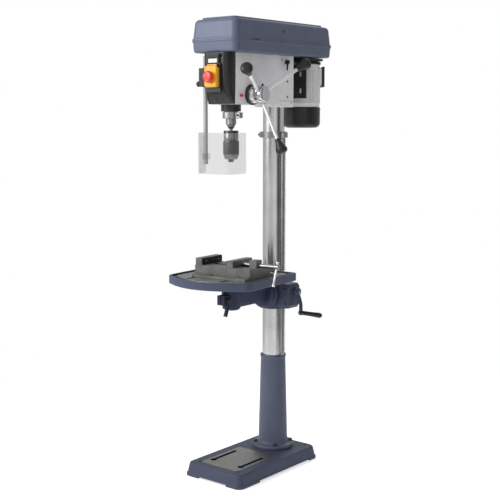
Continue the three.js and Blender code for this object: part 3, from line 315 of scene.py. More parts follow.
def turn(bm, profile, base, axis, sides=64):
    """Adds a form turned from (radius, distance) pairs, closed at radius 0 or by its own path."""
    axis = Vector(axis).normalized()
    across = axis.orthogonal().normalized()
    other = axis.cross(across)
    base = Vector(base)
    rows = []
    for radius, distance in profile:
        centre = base + axis * distance
        if radius < 1e-6:
            rows.append([bm.verts.new(centre)])
            continue
        rows.append([bm.verts.new(centre + (across * cos(a) + other * sin(a)) * radius) for a in turns(sides)])
    for lower, upper in zip(rows, rows[1:]):
        for i in range(sides):
            j = (i + 1) % sides
            corners = [lower[i % len(lower)], lower[j % len(lower)], upper[j % len(upper)], upper[i % len(upper)]]
            unique = list(dict.fromkeys(corners))
            if len(unique) > 2:
                bm.faces.new(unique)
    return bm


def turned(profile, sides, base=(0, 0, 0), axis=UP):
    """A solid turned from (radius, distance) pairs."""
    return turn(bmesh.new(), profile, base, axis, sides)


def along(start, *profile):
    """Profile pairs whose distances are counted from a start."""
    return [(radius, start + distance) for radius, distance in profile]


def hoop(profile, sides, base=(0, 0, 0), axis=UP):
    """A turned form with a hole through it: its profile closes on itself."""
    return turned(profile + profile[:1], sides, base, axis)


def drum(radius, start, end, sides, base=(0, 0, 0), axis=UP):
    """A plain cylinder between two distances along an axis."""
    return turned([(0, start), (radius, start), (radius, end), (0, end)], sides, base, axis)


def block(bm, x0, x1, y0, y1, z0, z1):
    ring = [(x1, y1), (x0, y1), (x0, y0), (x1, y0)]
    return skin(bm, [[Vector((x, y, z)) for x, y in ring] for z in (z0, z1)])


def cuboid(*corners):
    return block(bmesh.new(), *corners)


def sweep(bm, points, section, up=UP):
    """A section of (across, up) points carried along a path."""
    rings = []
    for i, point in enumerate(points):
        before = points[max(0, i - 1)]
        after = points[min(len(points) - 1, i + 1)]
        way = (Vector(after) - Vector(before)).normalized()
        across = way.cross(Vector(up)).normalized()
        lift = across.cross(way).normalized()
        rings.append([Vector(point) + across * a + lift * b for a, b in section])
    return skin(bm, rings)


def circle(radius, sides=20):
    return [(radius * cos(angle), radius * sin(angle)) for angle in turns(sides)]


def new_object(name, bm):
    """Mesh code in millimetres as an object in the scene."""
    mesh = bpy.data.meshes.new(name)
    bm.to_mesh(mesh)
    bm.free()
    obj = bpy.data.objects.new(name, mesh)
    link(obj)
    return obj


def clean(bm):
    """Joins coincident points and turns the faces outward."""
    bmesh.ops.remove_doubles(bm, verts=bm.verts, dist=0.001)
    bmesh.ops.recalc_face_normals(bm, faces=bm.faces)


def piece(name, bm, finish, body="frame", replaces=(), bevel=0.0, slot=None, sharp=35):
    """Turns mesh code into a finished piece that rides on a body; edges above an angle in degrees are sharp."""
    clean(bm)
    for face in bm.faces:
        face.smooth = True
    for edge in bm.edges:
        edge.smooth = len(edge.link_faces) == 2 and edge.calc_face_angle(0) < radians(sharp)
    obj = new_object(name, bm)
    obj.data.transform(TO_METRES)
    material, own_slot = FINISHES[finish]
    obj.data.materials.append(material)
    if bevel:
        edges = obj.modifiers.new("edges", "BEVEL")
        edges.width = bevel * MM
        edges.segments = 2
        edges.limit_method = "ANGLE"
        edges.angle_limit = radians(sharp)
        obj.modifiers.new("normals", "WEIGHTED_NORMAL").keep_sharp = True
    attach(obj, body)
    if replaces:
        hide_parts(replaces)
    slot or own_slot


def carve(bm, *tools):
    """The solid bm less each tool, as new mesh code."""
    objects = []
    for solid in (bm, *tools):
        clean(solid)
        objects.append(new_object("carve", solid))
    for tool in objects[1:]:
        cut = objects[0].modifiers.new("cut", "BOOLEAN")
        cut.operation = "DIFFERENCE"
        cut.solver = "EXACT"
        cut.object = tool
    carved = objects[0].evaluated_get(bpy.context.evaluated_depsgraph_get())
    result = bmesh.new()
    result.from_mesh(bpy.data.meshes.new_from_object(carved))
    for obj in objects:
        bpy.data.objects.remove(obj)
    return result


def from_cad(node, finish=None, bevel=0.6, sharp=30):
    """A finer copy of a CAD node: flat faces merged, edges rounded, smooth where it is round."""
    slot = SLOT_OF[node]
    bm = bmesh.new()
    bm.from_mesh(frame["nodes"][node].data)
    bm.transform(Matrix.Scale(1 / MM, 4) @ Matrix.Translation(-ORIGIN))
    bmesh.ops.remove_doubles(bm, verts=bm.verts, dist=0.01)
    bmesh.ops.dissolve_limit(bm, angle_limit=radians(1), verts=bm.verts, edges=bm.edges)
    piece(node + "_fine", bm, finish or slot, BODY_OF[node], node, bevel, slot, sharp)


def hex_bolt(bm, place, axis, across=10.0, height=6.0, washer=9.0):
    """A bolt head with its washer, standing on a surface."""
    turn(bm, [(0, 0), (washer, 0), (washer, 1.4), (0, 1.4)], place, axis, 28)
    top = height + 1.4
    radius = across / sqrt(3)
    turn(bm, [(0, 1.4), (radius, 1.4), (radius, top - 1), (radius * 0.86, top), (0, top)], place, axis, 6)


def socket_screw(bm, place, axis, radius=4.5, height=4.0):
    """A cylinder-head screw with a hexagonal socket."""
    head = [(0, 0), (radius, 0), (radius, height - 0.6), (radius - 0.6, height), (radius * 0.5, height)]
    turn(bm, head, place, axis, 28)
    turn(bm, [(radius * 0.5, height), (radius * 0.5, height * 0.4), (0, height * 0.4)], place, axis, 6)


def pan_screw(bm, place, axis, radius=4.0):
    """A domed screw head."""
    dome = [(radius * cos(a), radius * 0.45 * sin(a) + 0.4) for a in quarter(5)]
    turn(bm, [(0, 0), (radius, 0)] + dome, place, axis, 28)


def screws(name, kind, rows, body="frame", finish="dark_steel", bevel=0.0, place=None):
    """One piece of several screws of a kind; each row holds a place, an axis and sizes."""
    bm = bmesh.new()
    for row in rows:
        kind(bm, *row)
    piece(name, place(bm) if place else bm, finish, body, bevel=bevel)


# ---- stand
def make_base():
    half = (BASE_HIGH.x - BASE_LOW.x) / 2
    front, rear, top = BASE_LOW.y, BASE_HIGH.y, BASE_TOP

    def ring(inset, z):
        return ring_of(-half + inset, half - inset, front + inset, rear - inset, 24 if inset < 5 else 20, z)

    def slot_tools(x, bottom):
        """What cuts a clamping slot with the round hole at its front end."""
        return [cuboid(x - SLOT_HALF, x + SLOT_HALF, SLOT_FRONT, -140, bottom, top + 9),
                drum(12, bottom, top + 9, 32, (x, SLOT_FRONT, 0))]

    body = loft([(1, 0), (0, 1), (0, 9), (0.8, 11), (2.5, 12.5), (9, top - 5), (10.5, top - 1.6), (13, top)], ring)
    tools = [loft([(12, -1), (13, 10), (21, top - 12)], ring)]
    tools += slot_tools(-BASE_SLOT_X, 20) + slot_tools(BASE_SLOT_X, 20)
    for foot_gap in (
        (-half / 2, half / 2, front - 5, front + 30),
        (-half / 2, half / 2, rear - 30, rear + 5),
        (-half - 5, -half + 30, front + 112, rear - 52),
        (half - 30, half + 5, front + 112, rear - 52),
    ):
        tools.append(cuboid(*foot_gap, -1, 7))
    tools += [drum(6, 20, top + 9, 24, (x, y, 0)) for x in (-90, 90) for y in (-314, 88)]
    # the base in the darker shaded base blue: painted shade on the lowest part
    piece("base_casting", carve(body, *tools), "base_blue", "frame", "base", 1.2)

    pad = loft([ring_of(-86, 86, -316, -96, 10, z) for z in (top - 1, top + 0.6)])
    cuts = slot_tools(-BASE_SLOT_X, top - 4) + slot_tools(BASE_SLOT_X, top - 4)
    piece("base_machined_pad", carve(pad, *cuts), "planed_iron", bevel=0.3)
    # thin walls in the trough finish line the slots and their round holes: painted shade inside the slots
    outer, inner = (top - 17, top - 0.3), (top - 19, top + 1)
    for side, x in (("left", -BASE_SLOT_X), ("right", BASE_SLOT_X)):
        hole = (32, (x, SLOT_FRONT, 0))
        wall = carve(cuboid(x - 6.9, x + 6.9, SLOT_FRONT, -140.1, *outer),
                     cuboid(x - 6.2, x + 6.2, SLOT_FRONT - 1, -140.8, *inner), drum(11.2, *inner, *hole))
        piece(f"base_slot_{side}_wall", wall, "trough", slot="iron")
        wall = carve(drum(11.9, *outer, *hole), drum(11.2, *inner, *hole),
                     cuboid(x - 6.2, x + 6.2, SLOT_FRONT + 5, SLOT_FRONT + 20, *inner))
        piece(f"base_hole_{side}_wall", wall, "trough", slot="iron")
    boss = along(top, (36, -3), (88, -3), (85, 0.8), (82, 2), (36, 2))
    piece("base_column_seat", hoop(boss, 96), "base_blue")


def make_column():
    low, high = span("column")
    inside = COLUMN_R - 5
    tube = hoop([(inside, low.z), (COLUMN_R, low.z), (COLUMN_R, high.z), (inside, high.z)], 128)
    piece("column_tube", tube, "column_steel", "frame", "column")
    low, high = span("column_support")
    foot, top = low.z, high.z
    bore = COLUMN_R + 0.6
    profile = along(foot, (bore, 0), (77, 0), (79, 2), (79, 11), (77.5, 14), (73, 15.5), (64, 16.5), (60, 18.5),
                    (57.5, 22), (56, 28), (54.5, 36))
    profile += along(top, (46.8, -16), (46.8, -12.5), (48, -10.5), (48, -1.5), (46.8, 0), (bore, 0))
    piece("column_foot", hoop(profile, 112), "blue_paint", "frame", "column_support", sharp=50)
    rows = [(heading(angle) * 67.5 + Vector((0, 0, foot + 15.6)), UP, 12, 7, 8.4) for angle in DIAGONALS]
    screws("foot_bolts", hex_bolt, rows, bevel=0.3)
    low, high = span("rack_collar")
    way = heading(COLLAR_SCREW_TURN)
    place = way * 52.5 + Vector((0, 0, (low.z + high.z) / 2))
    screws("collar_screw", socket_screw, [(place, way, 4, 5)])
    from_cad("rack_collar", "turned_steel", 0.8)
    from_cad("rack", "steel", 0)


# ---- head
def make_head():
    top, low = PAN_LOW.z - 0.3, HEAD_LOW.z + 24
    front, rear = HEAD_LOW.y, HEAD_HIGH.y - 4
    on_spindle = (0, SPINDLE_Y, 0)

    def ring(inset, z):
        return ring_of(-SIDE_X + inset, SIDE_X - inset, front + inset, rear - inset, 8, z)

    def clamp_ring(inset, z):
        return ring_of(-SIDE_X - 3 + inset, SIDE_X + 3 - inset, -52 + inset, rear + 4 - inset, 20, z)

    body = loft([(2.5, low), (0.8, low + 0.8), (0, low + 2.5), (0, top)], ring)
    clamp = loft([(2, low - 7), (0, low - 5), (0, low + 13), (2, low + 15)], clamp_ring)
    bore = span("quill")[1].x + 0.4
    tools = [
        drum(COLUMN_R + 0.3, low - 30, 1479, 96),
        drum(bore, low - 30, 1488, 64, on_spindle),
        drum(20.5, 1480, top + 2, 48, on_spindle),
        drum(16.6, -66, 66, 48, (0, FEED_Y, FEED_Z), RIGHT),
        *(drum(8.6, -120, 60, 32, (x, 0, GUIDE_Z), BACK) for x in (-GUIDE_X, GUIDE_X)),
        drum(5.6, 40, 66, 24, (0, -6, GUIDE_Z), RIGHT),
    ]
    piece("head_body", carve(body, *tools), "grey_paint", "frame", "head_casting", 0.8)
    clamp = carve(clamp, drum(COLUMN_R + 0.3, low - 30, 1479, 96))
    piece("head_column_clamp", clamp, "grey_paint", bevel=0.8)
    nose = along(low, (bore, -24), (33.5, -24), (35, -22.5), (35, 2), (bore, 2))
    piece("head_nose", hoop(nose, 72, on_spindle), "charcoal")
    post = [(0, top - 5), (16, top - 5), (16, 1528), (7.7, 1528), (7.7, 1597), (6.5, 1598), (0, 1598)]
    piece("idler_post", turned(post, 40, (0, middle("idler_pulley").y, 0)), "turned_steel")
    right = ((-9, 1342, 4, 2.5), (22, 1346, 4.4, 3), (2, 1422, 3.4, 2.4), (2, 1366, 3.4, 2.4))
    rows = [((SIDE_X, y, z), RIGHT, radius, height) for y, z, radius, height in right]
    rows += [((-SIDE_X - 3, y, 1341), LEFT, 4.4, 3) for y in (-20, 28)]
    screws("head_screws", socket_screw, rows)
    cap = [(0, 0), (5, 0), (5, 4), (4.2, 6), (0, 6.4)]
    piece("lock_cap", turned(cap, 32, (SIDE_X, -30, 1494), RIGHT), "chrome")
    pin = [(0, 0), (4.4, 0), (4.4, 4), (5.6, 5), (5.6, 9), (4.4, 10.5), (0, 11)]
    piece("depth_lock_pin", turned(pin, 32, (SIDE_X, FEED_Y - 58, FEED_Z - 4), RIGHT), "red_plastic")


def make_front_cover():
    low, high = span("front_cover")
    rear, top = high.y, high.z

    def bow_at(share):
        return sin(share * pi / 2)

    def ring(side, front, flat, z, steps=14):
        """Plan of the cover at one height: flat in front, rounded back to the sides."""
        points = [Vector((side, rear, z)), Vector((-side, rear, z))]
        depth = rear - front - 6
        for sign in (-1, 1):
            for i in range(steps + 1):
                t = (i if sign < 0 else steps - i) / steps * pi / 2
                points.append(Vector((sign * (flat + (side - flat) * cos(t)), rear - 6 - depth * sin(t), z)))
        return points

    rows = [(58 + 2 * t, -296 - 33 * bow_at(t), 50 - 13 * bow_at(t), low.z + 72 * t)
            for t in (i / 14 for i in range(15))]
    rows += [(SIDE_X, -330, 36, top - 60), (SIDE_X, low.y, 36, top)]
    piece("front_cover_shell", loft(rows, ring), "charcoal", "frame", "front_cover", 1.4)
    beads = bmesh.new()
    for sign in (-1, 1):
        path = []
        for i in range(33):
            z = top - 26 - i / 32 * (top - low.z - 30)
            bow = bow_at(min(1.0, (z - low.z) / 72))
            path.append((sign * (50.6 - 13 * bow), -296.4 - 33.4 * bow, z))
        sweep(beads, path, circle(0.9, 10), RIGHT)
    piece("front_cover_beads", beads, "black_plastic")
    band = loft([(SIDE_X + 0.1, low.y - 0.1, 36.2, z) for z in (top - 24, top - 12)], ring)
    piece("front_cover_band", band, "black_plastic", bevel=0.8)
    rows = [((x, -307.2, low.z + 16), (0, -1, -0.55), 3.6, 2.4) for x in (-15, 15)]
    screws("front_cover_screws", socket_screw, rows)


def make_belt_cover():
    low, high = PAN_LOW, PAN_HIGH
    half, front, rear = high.x, low.y, high.y
    rim = high.z - 4.3  # where the lid meets the pan

    def ring(inset, radius, z, ends=0.0):
        return ring_of(-half + inset, half - inset, front + inset + ends, rear - inset - ends, radius, z, 12)

    hinge_x = -half - 6
    pan = [(12, 20, low.z), (8, 22, low.z + 0.8), (5.4, 24, low.z + 3.4), (4, 25, low.z + 8), (2.4, 26, rim - 7.5),
           (1.6, 27, rim - 6.2), (0.2, 27, rim - 5.2), (0, 27, rim - 4), (0, 27, rim)]
    inner = loft([(14, 17, low.z + 4), (7, 22, low.z + 12), (4, 23, rim + 1)], ring)
    motor_y = middle("motor_pulley").y
    holes = [drum(24, low.z - 2, low.z + 9, 48, (0, y, 0)) for y in (SPINDLE_Y, motor_y, motor_y - 12)]
    # the belt cover's pan and lid in the lighter lit cover blue: painted light
    piece("belt_pan_shell", carve(loft(pan, ring), inner, *holes), "cover_blue", "frame", "belt_pan", 0.8)
    top = span("belt_lid")[1].z
    levels = [(0, 27, rim + 0.3), (0, 27, rim + 4.6), (0.6, 27, rim + 5.6), (2.2, 26, rim + 6.4), (3, 26, rim + 8),
              (7, 26, top - 24)]
    for t in quarter(7)[1:]:
        levels.append((7 + 14 * (1 - cos(t)), 26 - 8 * (1 - cos(t)), top - 24 + 17 * sin(t)))
    levels += [(28, 16, top - 6.4, -2), (29.5, 15, top - 5.4, -2.4), (31, 14.4, top - 1.6, -2.8),
               (33, 13.6, top, -3)]
    inside = [(5, 23, rim - 1), (6, 22, rim + 6), (10, 22, top - 24), (17, 18, top - 12), (34, 14, top - 9)]
    slot = cuboid(half - 4, half + 2, -262, -214, rim - 1, rim + 4)
    lid = carve(loft(levels, ring), loft(inside, ring), slot)
    piece("belt_lid_shell", lid, "cover_blue", "belt_lid", "belt_lid", 0.5)
    for name, body, y_ranges, z0, z1 in (
        ("pan_hinges", "frame", ((-12, 12),), rim - 9, rim - 0.6),
        ("lid_hinges", "belt_lid", ((-23, -12.6), (12.6, 23)), rim + 1, rim + 5),
    ):
        hinges = bmesh.new()
        for y0, y1 in ((y + y0, y + y1) for y in (-200, 110) for y0, y1 in y_ranges):
            knuckle = [(2.2, y0), (4.6, y0), (4.6, y1), (2.2, y1), (2.2, y0)]
            turn(hinges, knuckle, (hinge_x, 0, rim), BACK, 24)
            block(hinges, hinge_x + 3, -half + 1.5, y0, y1, z0, z1)
        piece(name, hinges, "cover_blue", body, bevel=0.3)
    from_cad("hinge_pin", "steel", 0)
    screw = [(0, 0), (4.4, 0), (4.4, 1.4), (3.6, 2.4), (0, 2.6)]
    screw = turned(screw, 32, (half - 5.6, -75, rim + 38), (1, 0, 0.06))
    piece("lid_screw", screw, "dark_steel", "belt_lid")
    rows = [((x, y, low.z + 4.2), UP, 4) for y in (-300, 90) for x in (-30, 30)]
    screws("pan_screws", pan_screw, rows, finish="steel")


# ---- drive
def make_motor():
    low, high = span("motor_body")
    centre_y = middle("motor_pulley").y
    fan_low, fan_high = span("fan_cover")
    r = (fan_high.x - fan_low.x) / 2 - 2
    base = Vector((0, centre_y, 0))
    profile = along(low.z, (0, 0), (r - 4, 0), (r - 1, 1), (r, 4), (r, 17), (r - 4, 19))
    profile += along(high.z, (r - 4, -29), (r, -27), (r, -8), (r - 1.5, -4), (r - 6, 0), (9.5, 0), (9.5, -20),
                     (0, -20))
    piece("motor_shell", turned(profile, 112, base), "grey_paint", "motor", "motor_body", sharp=40)
    fins = bmesh.new()
    section = ((r - 5, 1.9), (r + 1.5, 1.1), (r + 1.5, -1.1), (r - 5, -1.9))
    for i in range(56):
        way = heading(2 * pi * (i + 0.5) / 56)
        side = Vector((-way.y, way.x, 0))
        skin(fins, [[base + way * a + side * b + Vector((0, 0, z)) for a, b in section]
                    for z in (low.z + 16, high.z - 26)])
    piece("motor_fins", fins, "grey_paint", "motor", sharp=60)
    pads = bmesh.new()
    for z in BOLT_ROWS:
        block(pads, -46, 46, 98.3, centre_y - 30, z - 12, z + 12)
        block(pads, -60, 60, 98.3, 110, z - 12, z + 12)
    piece("motor_feet", pads, "grey_paint", "motor", bevel=1.5)
    seat = cuboid(r - 14, r + 5.4, -28, 28, 1414, 1474)
    seat.transform(Matrix.Translation(base) @ Matrix.Rotation(radians(42), 4, "Z"))
    piece("terminal_seat", seat, "grey_paint", "motor", bevel=1.5)
    flange = along(high.z, (r - 6, -11), (r + 2.4, -11), (r + 3, -10), (r + 3, -2), (r + 2, -0.6), (r - 6, -0.6))
    piece("motor_flange", hoop(flange, 112, base), "black_paint", "motor", sharp=50)
    low, high = fan_low, fan_high
    r += 2
    wall = [(r - 20 + 20 * sin(t), low.z + 20 * (1 - cos(t))) for t in quarter(8)]
    profile = [(0, low.z), *wall, *along(high.z, (r, -1), (r - 1, 0), (r - 3, 0)),
               *along(low.z, (r - 3, 22), (r - 22, 3), (0, 3))]
    slots = []
    for ring_r, count in ((18, 6), (30, 10), (42, 14)):
        for angle in turns(count):
            place = (ring_r * cos(angle), centre_y + ring_r * sin(angle), 0)
            slots.append(drum(3.2, low.z - 2, low.z + 6, 16, place))
    cowl = carve(turned(profile, 112, base), *slots)
    piece("fan_cowl", cowl, "black_plastic", "motor", "fan_cover", sharp=40)
    rows = [(way * r + Vector((0, centre_y, high.z - 8)), way, 3.4) for way in map(heading, DIAGONALS)]
    screws("fan_screws", pan_screw, rows, "motor")
    from_cad("motor_mount", "black_paint", 0.8)
    bolts = bmesh.new()
    for x in (-53, 53):
        for z in BOLT_ROWS:
            block(bolts, x - 3.2, x + 3.2, 90.9, 99, z - 8.6, z + 8.6)
    piece("mount_slot_bolts", bolts, "bright_rod", "motor", bevel=0.5, slot="steel")
    guides = bmesh.new()
    for x in (-GUIDE_X, GUIDE_X):
        turn(guides, [(0, -39.8), (6.6, -39.8), (8.1, -38), (8.1, 92), (0, 92)], (x, 0, GUIDE_Z), BACK, 40)
    piece("motor_guides", guides, "turned_steel", "motor")
    for node, finish, bevel in (
        ("terminal_box", "black_plastic", 2.0), ("tension_lever", "black_plastic", 0.8),
        ("motor_pulley", "turned_steel", 0), ("spindle_pulley", "turned_steel", 0),
        ("idler_pulley", "turned_steel", 0), ("idler_arm", "iron", 0.5), ("belt_front", "belt_rubber", 0.5),
        ("belt_rear", "belt_rubber", 0.5), ("return_spring", "steel", 0),
    ):
        from_cad(node, finish, bevel)


def make_spring_cup():
    low, high = span("spring_cup")
    r = (high.z - low.z) / 2
    depth = high.x - low.x
    profile = [(r - 4, 0), (r, 0), (r, depth - 5), (r - 1.5, depth - 1.6), (r - 5, depth), (12, depth),
               (11, depth - 1.5), (0, depth - 1.5), (0, depth - 4), (r - 4, depth - 4)]
    cup = hoop(profile, 80, (high.x, FEED_Y, FEED_Z), LEFT)
    piece("spring_housing", cup, "charcoal", "frame", "spring_cup", sharp=40)
    nut = turned([(0, 0), (9, 0), (9, 0.9), (8, 1.2), (0, 1.2)], 6, (low.x + 1.6, FEED_Y, FEED_Z), LEFT)
    piece("spring_nut", nut, "steel")


# ---- quill, spindle and chuck
def notched(bm, beyond, count, depth, low=0, high=inf):
    """Presses flutes into what lies beyond a radius about the spindle, between two heights."""
    for vertex in bm.verts:
        across = Vector((vertex.co.x, vertex.co.y - SPINDLE_Y))
        if across.length > beyond and low < vertex.co.z < high:
            flute = depth * (1 + cos(count * atan2(across.y, across.x)))
            vertex.co.x -= across.x / across.length * flute
            vertex.co.y -= across.y / across.length * flute
    return bm


def make_spindle():
    base = (0, SPINDLE_Y, 0)
    from_cad("quill", "turned_steel", 0.4)
    from_cad("quill_collar", "steel", 1.0)
    low, high = span("quill_collar")
    place = (38, SPINDLE_Y - 9, (low.z + high.z) / 2)
    screws("quill_collar_screw", socket_screw, [(place, FRONT, 4, 4)], "quill")
    quill_z = span("quill")[0].z
    low, high = span("spindle")
    profile = along(low.z, (0, 0), (5.7, 0), (5.7, 12), (7.4, 13), (9, 15), (12.6, 20), (14.4, 23), (14.6, 27),
                    (16.4, 28), (18.2, 29))
    profile += along(quill_z, (18.2, -1), (16.6, -1), (16.6, 170), (10, 176))
    profile += along(high.z, (10, -1), (9, 0), (0, 0))
    piece("spindle_turned", turned(profile, 64, base), "turned_steel", "spindle", "spindle")
    top = span("chuck_body")[1].z
    profile = [(6.4, 1151), (17.6, 1150), (18.6, 1150.6), (21, 1156)]
    profile += along(top, (21, -32), (24.6, -32), (25.4, -31), (25.4, -12), (24.6, -10.6), (24.6, -9.6), (26, -8.6),
                     (26, -1), (25, 0), (6.4, 0))
    bores = []
    slope = radians(12)
    for angle in (i * 2 * pi / 3 for i in range(3)):
        way = (sin(slope) * cos(angle), sin(slope) * sin(angle), cos(slope))
        place = (5.6 * cos(angle), SPINDLE_Y + 5.6 * sin(angle), 1136)
        bores.append(drum(4.7, -10, 68, 32, place, way))
    piece("chuck_core", carve(hoop(profile, 96, base), *bores), "turned_steel", "spindle", "chuck_body")
    cone = [(19.6, 1147), (20.8, 1147), (22.2, 1149), (24.4, 1155), (26.2, 1160.6), (27.2, 1163.6), (27.2, 1165),
            (22, 1165), (21.4, 1155.5), (19.6, 1149.6)]
    piece("chuck_cone", hoop(cone, 96, base), "turned_steel", "chuck_sleeve", sharp=50)
    sleeve = [(21.4, 1164.6), (27.4, 1164.6), (28, 1168), (28, 1206.5), (27.2, 1210.5), (25.6, 1213.6),
              (21.4, 1213.6)]
    grip = notched(hoop(sleeve, 144, base), 27.3, 24, 0.5, 1164, 1212)
    piece("chuck_grip", grip, "dark_steel", "chuck_sleeve", "chuck_sleeve", slot="iron", sharp=50)
    knurl = along(top, (24.6, -30.4), (25.6, -30.2), (25.6, -13), (24.6, -12.8))
    piece("chuck_ring", notched(hoop(knurl, 180, base), 25, 60, 0.18), "steel", "spindle", sharp=60)
    cap = along(top, (24, -9), (26.1, -8.8), (26.3, -8), (26.3, -1.6), (25.4, -0.6), (24, -0.5))
    piece("chuck_cap", hoop(cap, 96, base), "dark_steel", "spindle", sharp=50)
    for i in range(3):
        from_cad(f"chuck_jaw_{i + 1}", "steel", 0.3)


# ---- feed
ARM_ROOT = (106, 20)
ARM_KNOB = (164, 152)
ARM_TIP = (186, 202)
ARM_TURNS = (155, 35, -85)


def on_arm(x, reach, turn_deg):
    angle = radians(turn_deg)
    return Vector((x, FEED_Y + reach * cos(angle), FEED_Z + reach * sin(angle)))


def make_feed():
    side = span("feed_hub")[1].x - 66
    base = Vector((0, FEED_Y, FEED_Z))
    shaft = [(0, -78), (10, -78), (11, -77), (11, -10), (15.4, -6), (15.4, 6), (11, 10)]
    shaft += along(side, (11, 1), (23, 0.4), (24, 1), (24, 12), (29, 12), (30, 13), (30, 19.5), (29, 21),
                   (24.6, 23.5), (24, 25), (24, 29.5), (25, 31.4), (28, 33), (29, 34.6), (29, 57), (28, 60.5),
                   (25.4, 63.6), (21, 65.4), (12, 66), (0, 66))
    piece("feed_hub_turned", turned(shaft, 96, base, RIGHT), "chrome", "feed", "feed_hub", sharp=40)
    low, high = span("depth_dial")
    r = (high.z - low.z) / 2
    ring = [(24.6, low.x), (r - 1, low.x), (r, low.x + 1), (r, high.x - 3), (r - 2.6, high.x), (24.6, high.x)]
    piece("dial_ring", hoop(ring, 96, base, RIGHT), "charcoal", "depth_dial", "depth_dial", sharp=40)
    marks = bmesh.new()
    for i, angle in enumerate(turns(60)):
        way = Vector((0, cos(angle), sin(angle)))
        across = Vector((0, -way.z, way.y)) * 0.3
        inner, outer = (27.6 if i % 5 == 0 else 29.4), r - 3.2
        corners = [way * inner - across, way * outer - across, way * outer + across, way * inner + across]
        skin(marks, [[base + Vector((x, 0, 0)) + c for c in corners] for x in (high.x - 0.2, high.x + 0.12)])
    piece("dial_marks", marks, "label", "depth_dial")
    lever = turned([(0, 0), (6, 0), (6, 9), (4.5, 11), (0, 11)], 32, (high.x, FEED_Y + 28, FEED_Z + 14), RIGHT)
    turn(lever, [(0, 0), (3.2, 0), (3.8, 20), (3, 24), (0, 25)], (high.x + 7, FEED_Y + 29, FEED_Z + 16),
         (0.15, 0.35, 0.93), 24)
    piece("dial_lock", lever, "black_plastic", "depth_dial")
    collar = [(0, 7), (8.4, 7), (8.4, 13), (7.4, 15), (6.1, 15.6)]
    grip = [(6.1, 0), (8.2, 0), (9.4, 1), (9.8, 5), (10.4, 9), (12.2, 16), (15.6, 25), (18.8, 33), (20.6, 38),
            (21, 42.5), (20, 47), (17, 51), (12, 53.6)]
    for i, degrees in enumerate(ARM_TURNS):
        start, knob, tip = (on_arm(*place, degrees) for place in (ARM_ROOT, ARM_KNOB, ARM_TIP))
        way = (knob - start).normalized()
        rod = drum(6, 4, (knob - start).length + 18, 40, start, way)
        piece(f"arm_{i + 1}_rod", rod, "bright_rod", "feed", f"feed_arm_{i + 1}")
        piece(f"arm_{i + 1}_collar", turned(collar, 40, start, way), "chrome", "feed")
        length = (tip - knob).length
        ball = turned(grip + [(5, length), (0, length)], 56, knob, way)
        piece(f"arm_{i + 1}_knob", ball, "black_plastic", "feed", f"feed_knob_{i + 1}", sharp=60)


# ---- table
def with_table(bm):
    """Mesh code about the table's pivot, turned with the table and set in its place."""
    bm.transform(Matrix.Translation((0, SPINDLE_Y, 0)) @ Matrix.Rotation(TABLE_TURN, 4, "Z"))
    return bm


def bend(start, control, end, steps=14):
    """Points of a quadratic curve."""
    start, control, end = Vector(start), Vector(control), Vector(end)
    shares = [i / steps for i in range(steps + 1)]
    return [start * (1 - t) ** 2 + control * 2 * t * (1 - t) + end * t * t for t in shares]


def table_ring(inset, z):
    """Plan of the table at one height: square behind, bowed in front."""
    half, rear = 176.8 - inset, 160 - inset
    corner, front = -130 + inset * 0.4, -213.1 + inset
    points = bend((-half + 14, rear), (-half, rear), (-half, rear - 14))
    points += bend((-half, corner + 12), (-half, corner - 16), (-half + 30, corner - 30))
    points += bend((-half + 30, corner - 30), (0, front * 2 - corner + 30), (half - 30, corner - 30), 32)
    points += bend((half - 30, corner - 30), (half, corner - 16), (half, corner + 12))
    points += bend((half, rear - 14), (half, rear), (half - 14, rear))
    unique = list(dict.fromkeys((round(p.x, 4), round(p.y, 4)) for p in points))
    unique.sort(key=lambda p: atan2(p[1] + 20, p[0]))
    return [Vector((x, y, z)) for x, y in unique]


def make_table():
    top = TABLE_TOP
    skirt = top - 29

    def plate(name, finish, rows, *cutters, **values):
        piece(name, with_table(carve(loft(rows, table_ring), *cutters)), finish, "table", **values)

    def slots():
        return [cuboid(x - SLOT_HALF, x + SLOT_HALF, -166, 120, skirt - 2, top + 2) for x in (-70, 70)]

    trough = loft([(11, top - 7), (9, top - 5), (8.4, top + 1)], table_ring)
    under = loft([(10, skirt - 1), (12, top - 18)], table_ring)
    rim = [(2.5, skirt), (0.6, skirt + 0.8), (0, skirt + 3), (0, top - 2.4), (0.8, top - 0.6), (2.4, top)]
    # the table's rim in the darker shaded table blue: painted shade
    plate("table_rim", "table_blue", rim, trough, under, *slots(), replaces="table", bevel=0.6)
    island = loft([(25.8, top - 8), (25.8, top - 5)], table_ring)
    # the trough and its wall in the trough finish: painted shade inside the table's trough
    plate("table_trough", "trough", [(10.6, top - 6.95), (10.2, top - 6.2)], island)
    core = loft([(9.3, top - 8), (9.3, top)], table_ring)
    plate("table_trough_wall", "trough", [(8.5, top - 6.6), (8.5, top - 1.2)], core)
    plate("table_face", "planed_iron", [(26, top - 8), (26, top - 3), (27, top - 2)], *slots(), bevel=0.4)
    ribs = cuboid(-168, 168, -5, 5, skirt + 2, top - 16)
    block(ribs, -5, 5, -196, 152, skirt + 2, top - 16)
    piece("table_ribs", with_table(ribs), "navy", "table", bevel=1)
    pivot = [(0, 640), (15, 640), (16, 641), (16, 706.8), (44, 706.8), (44, 716), (38, top - 14), (0, top - 14)]
    piece("table_pivot", with_table(turned(pivot, 64)), "turned_steel", "table")


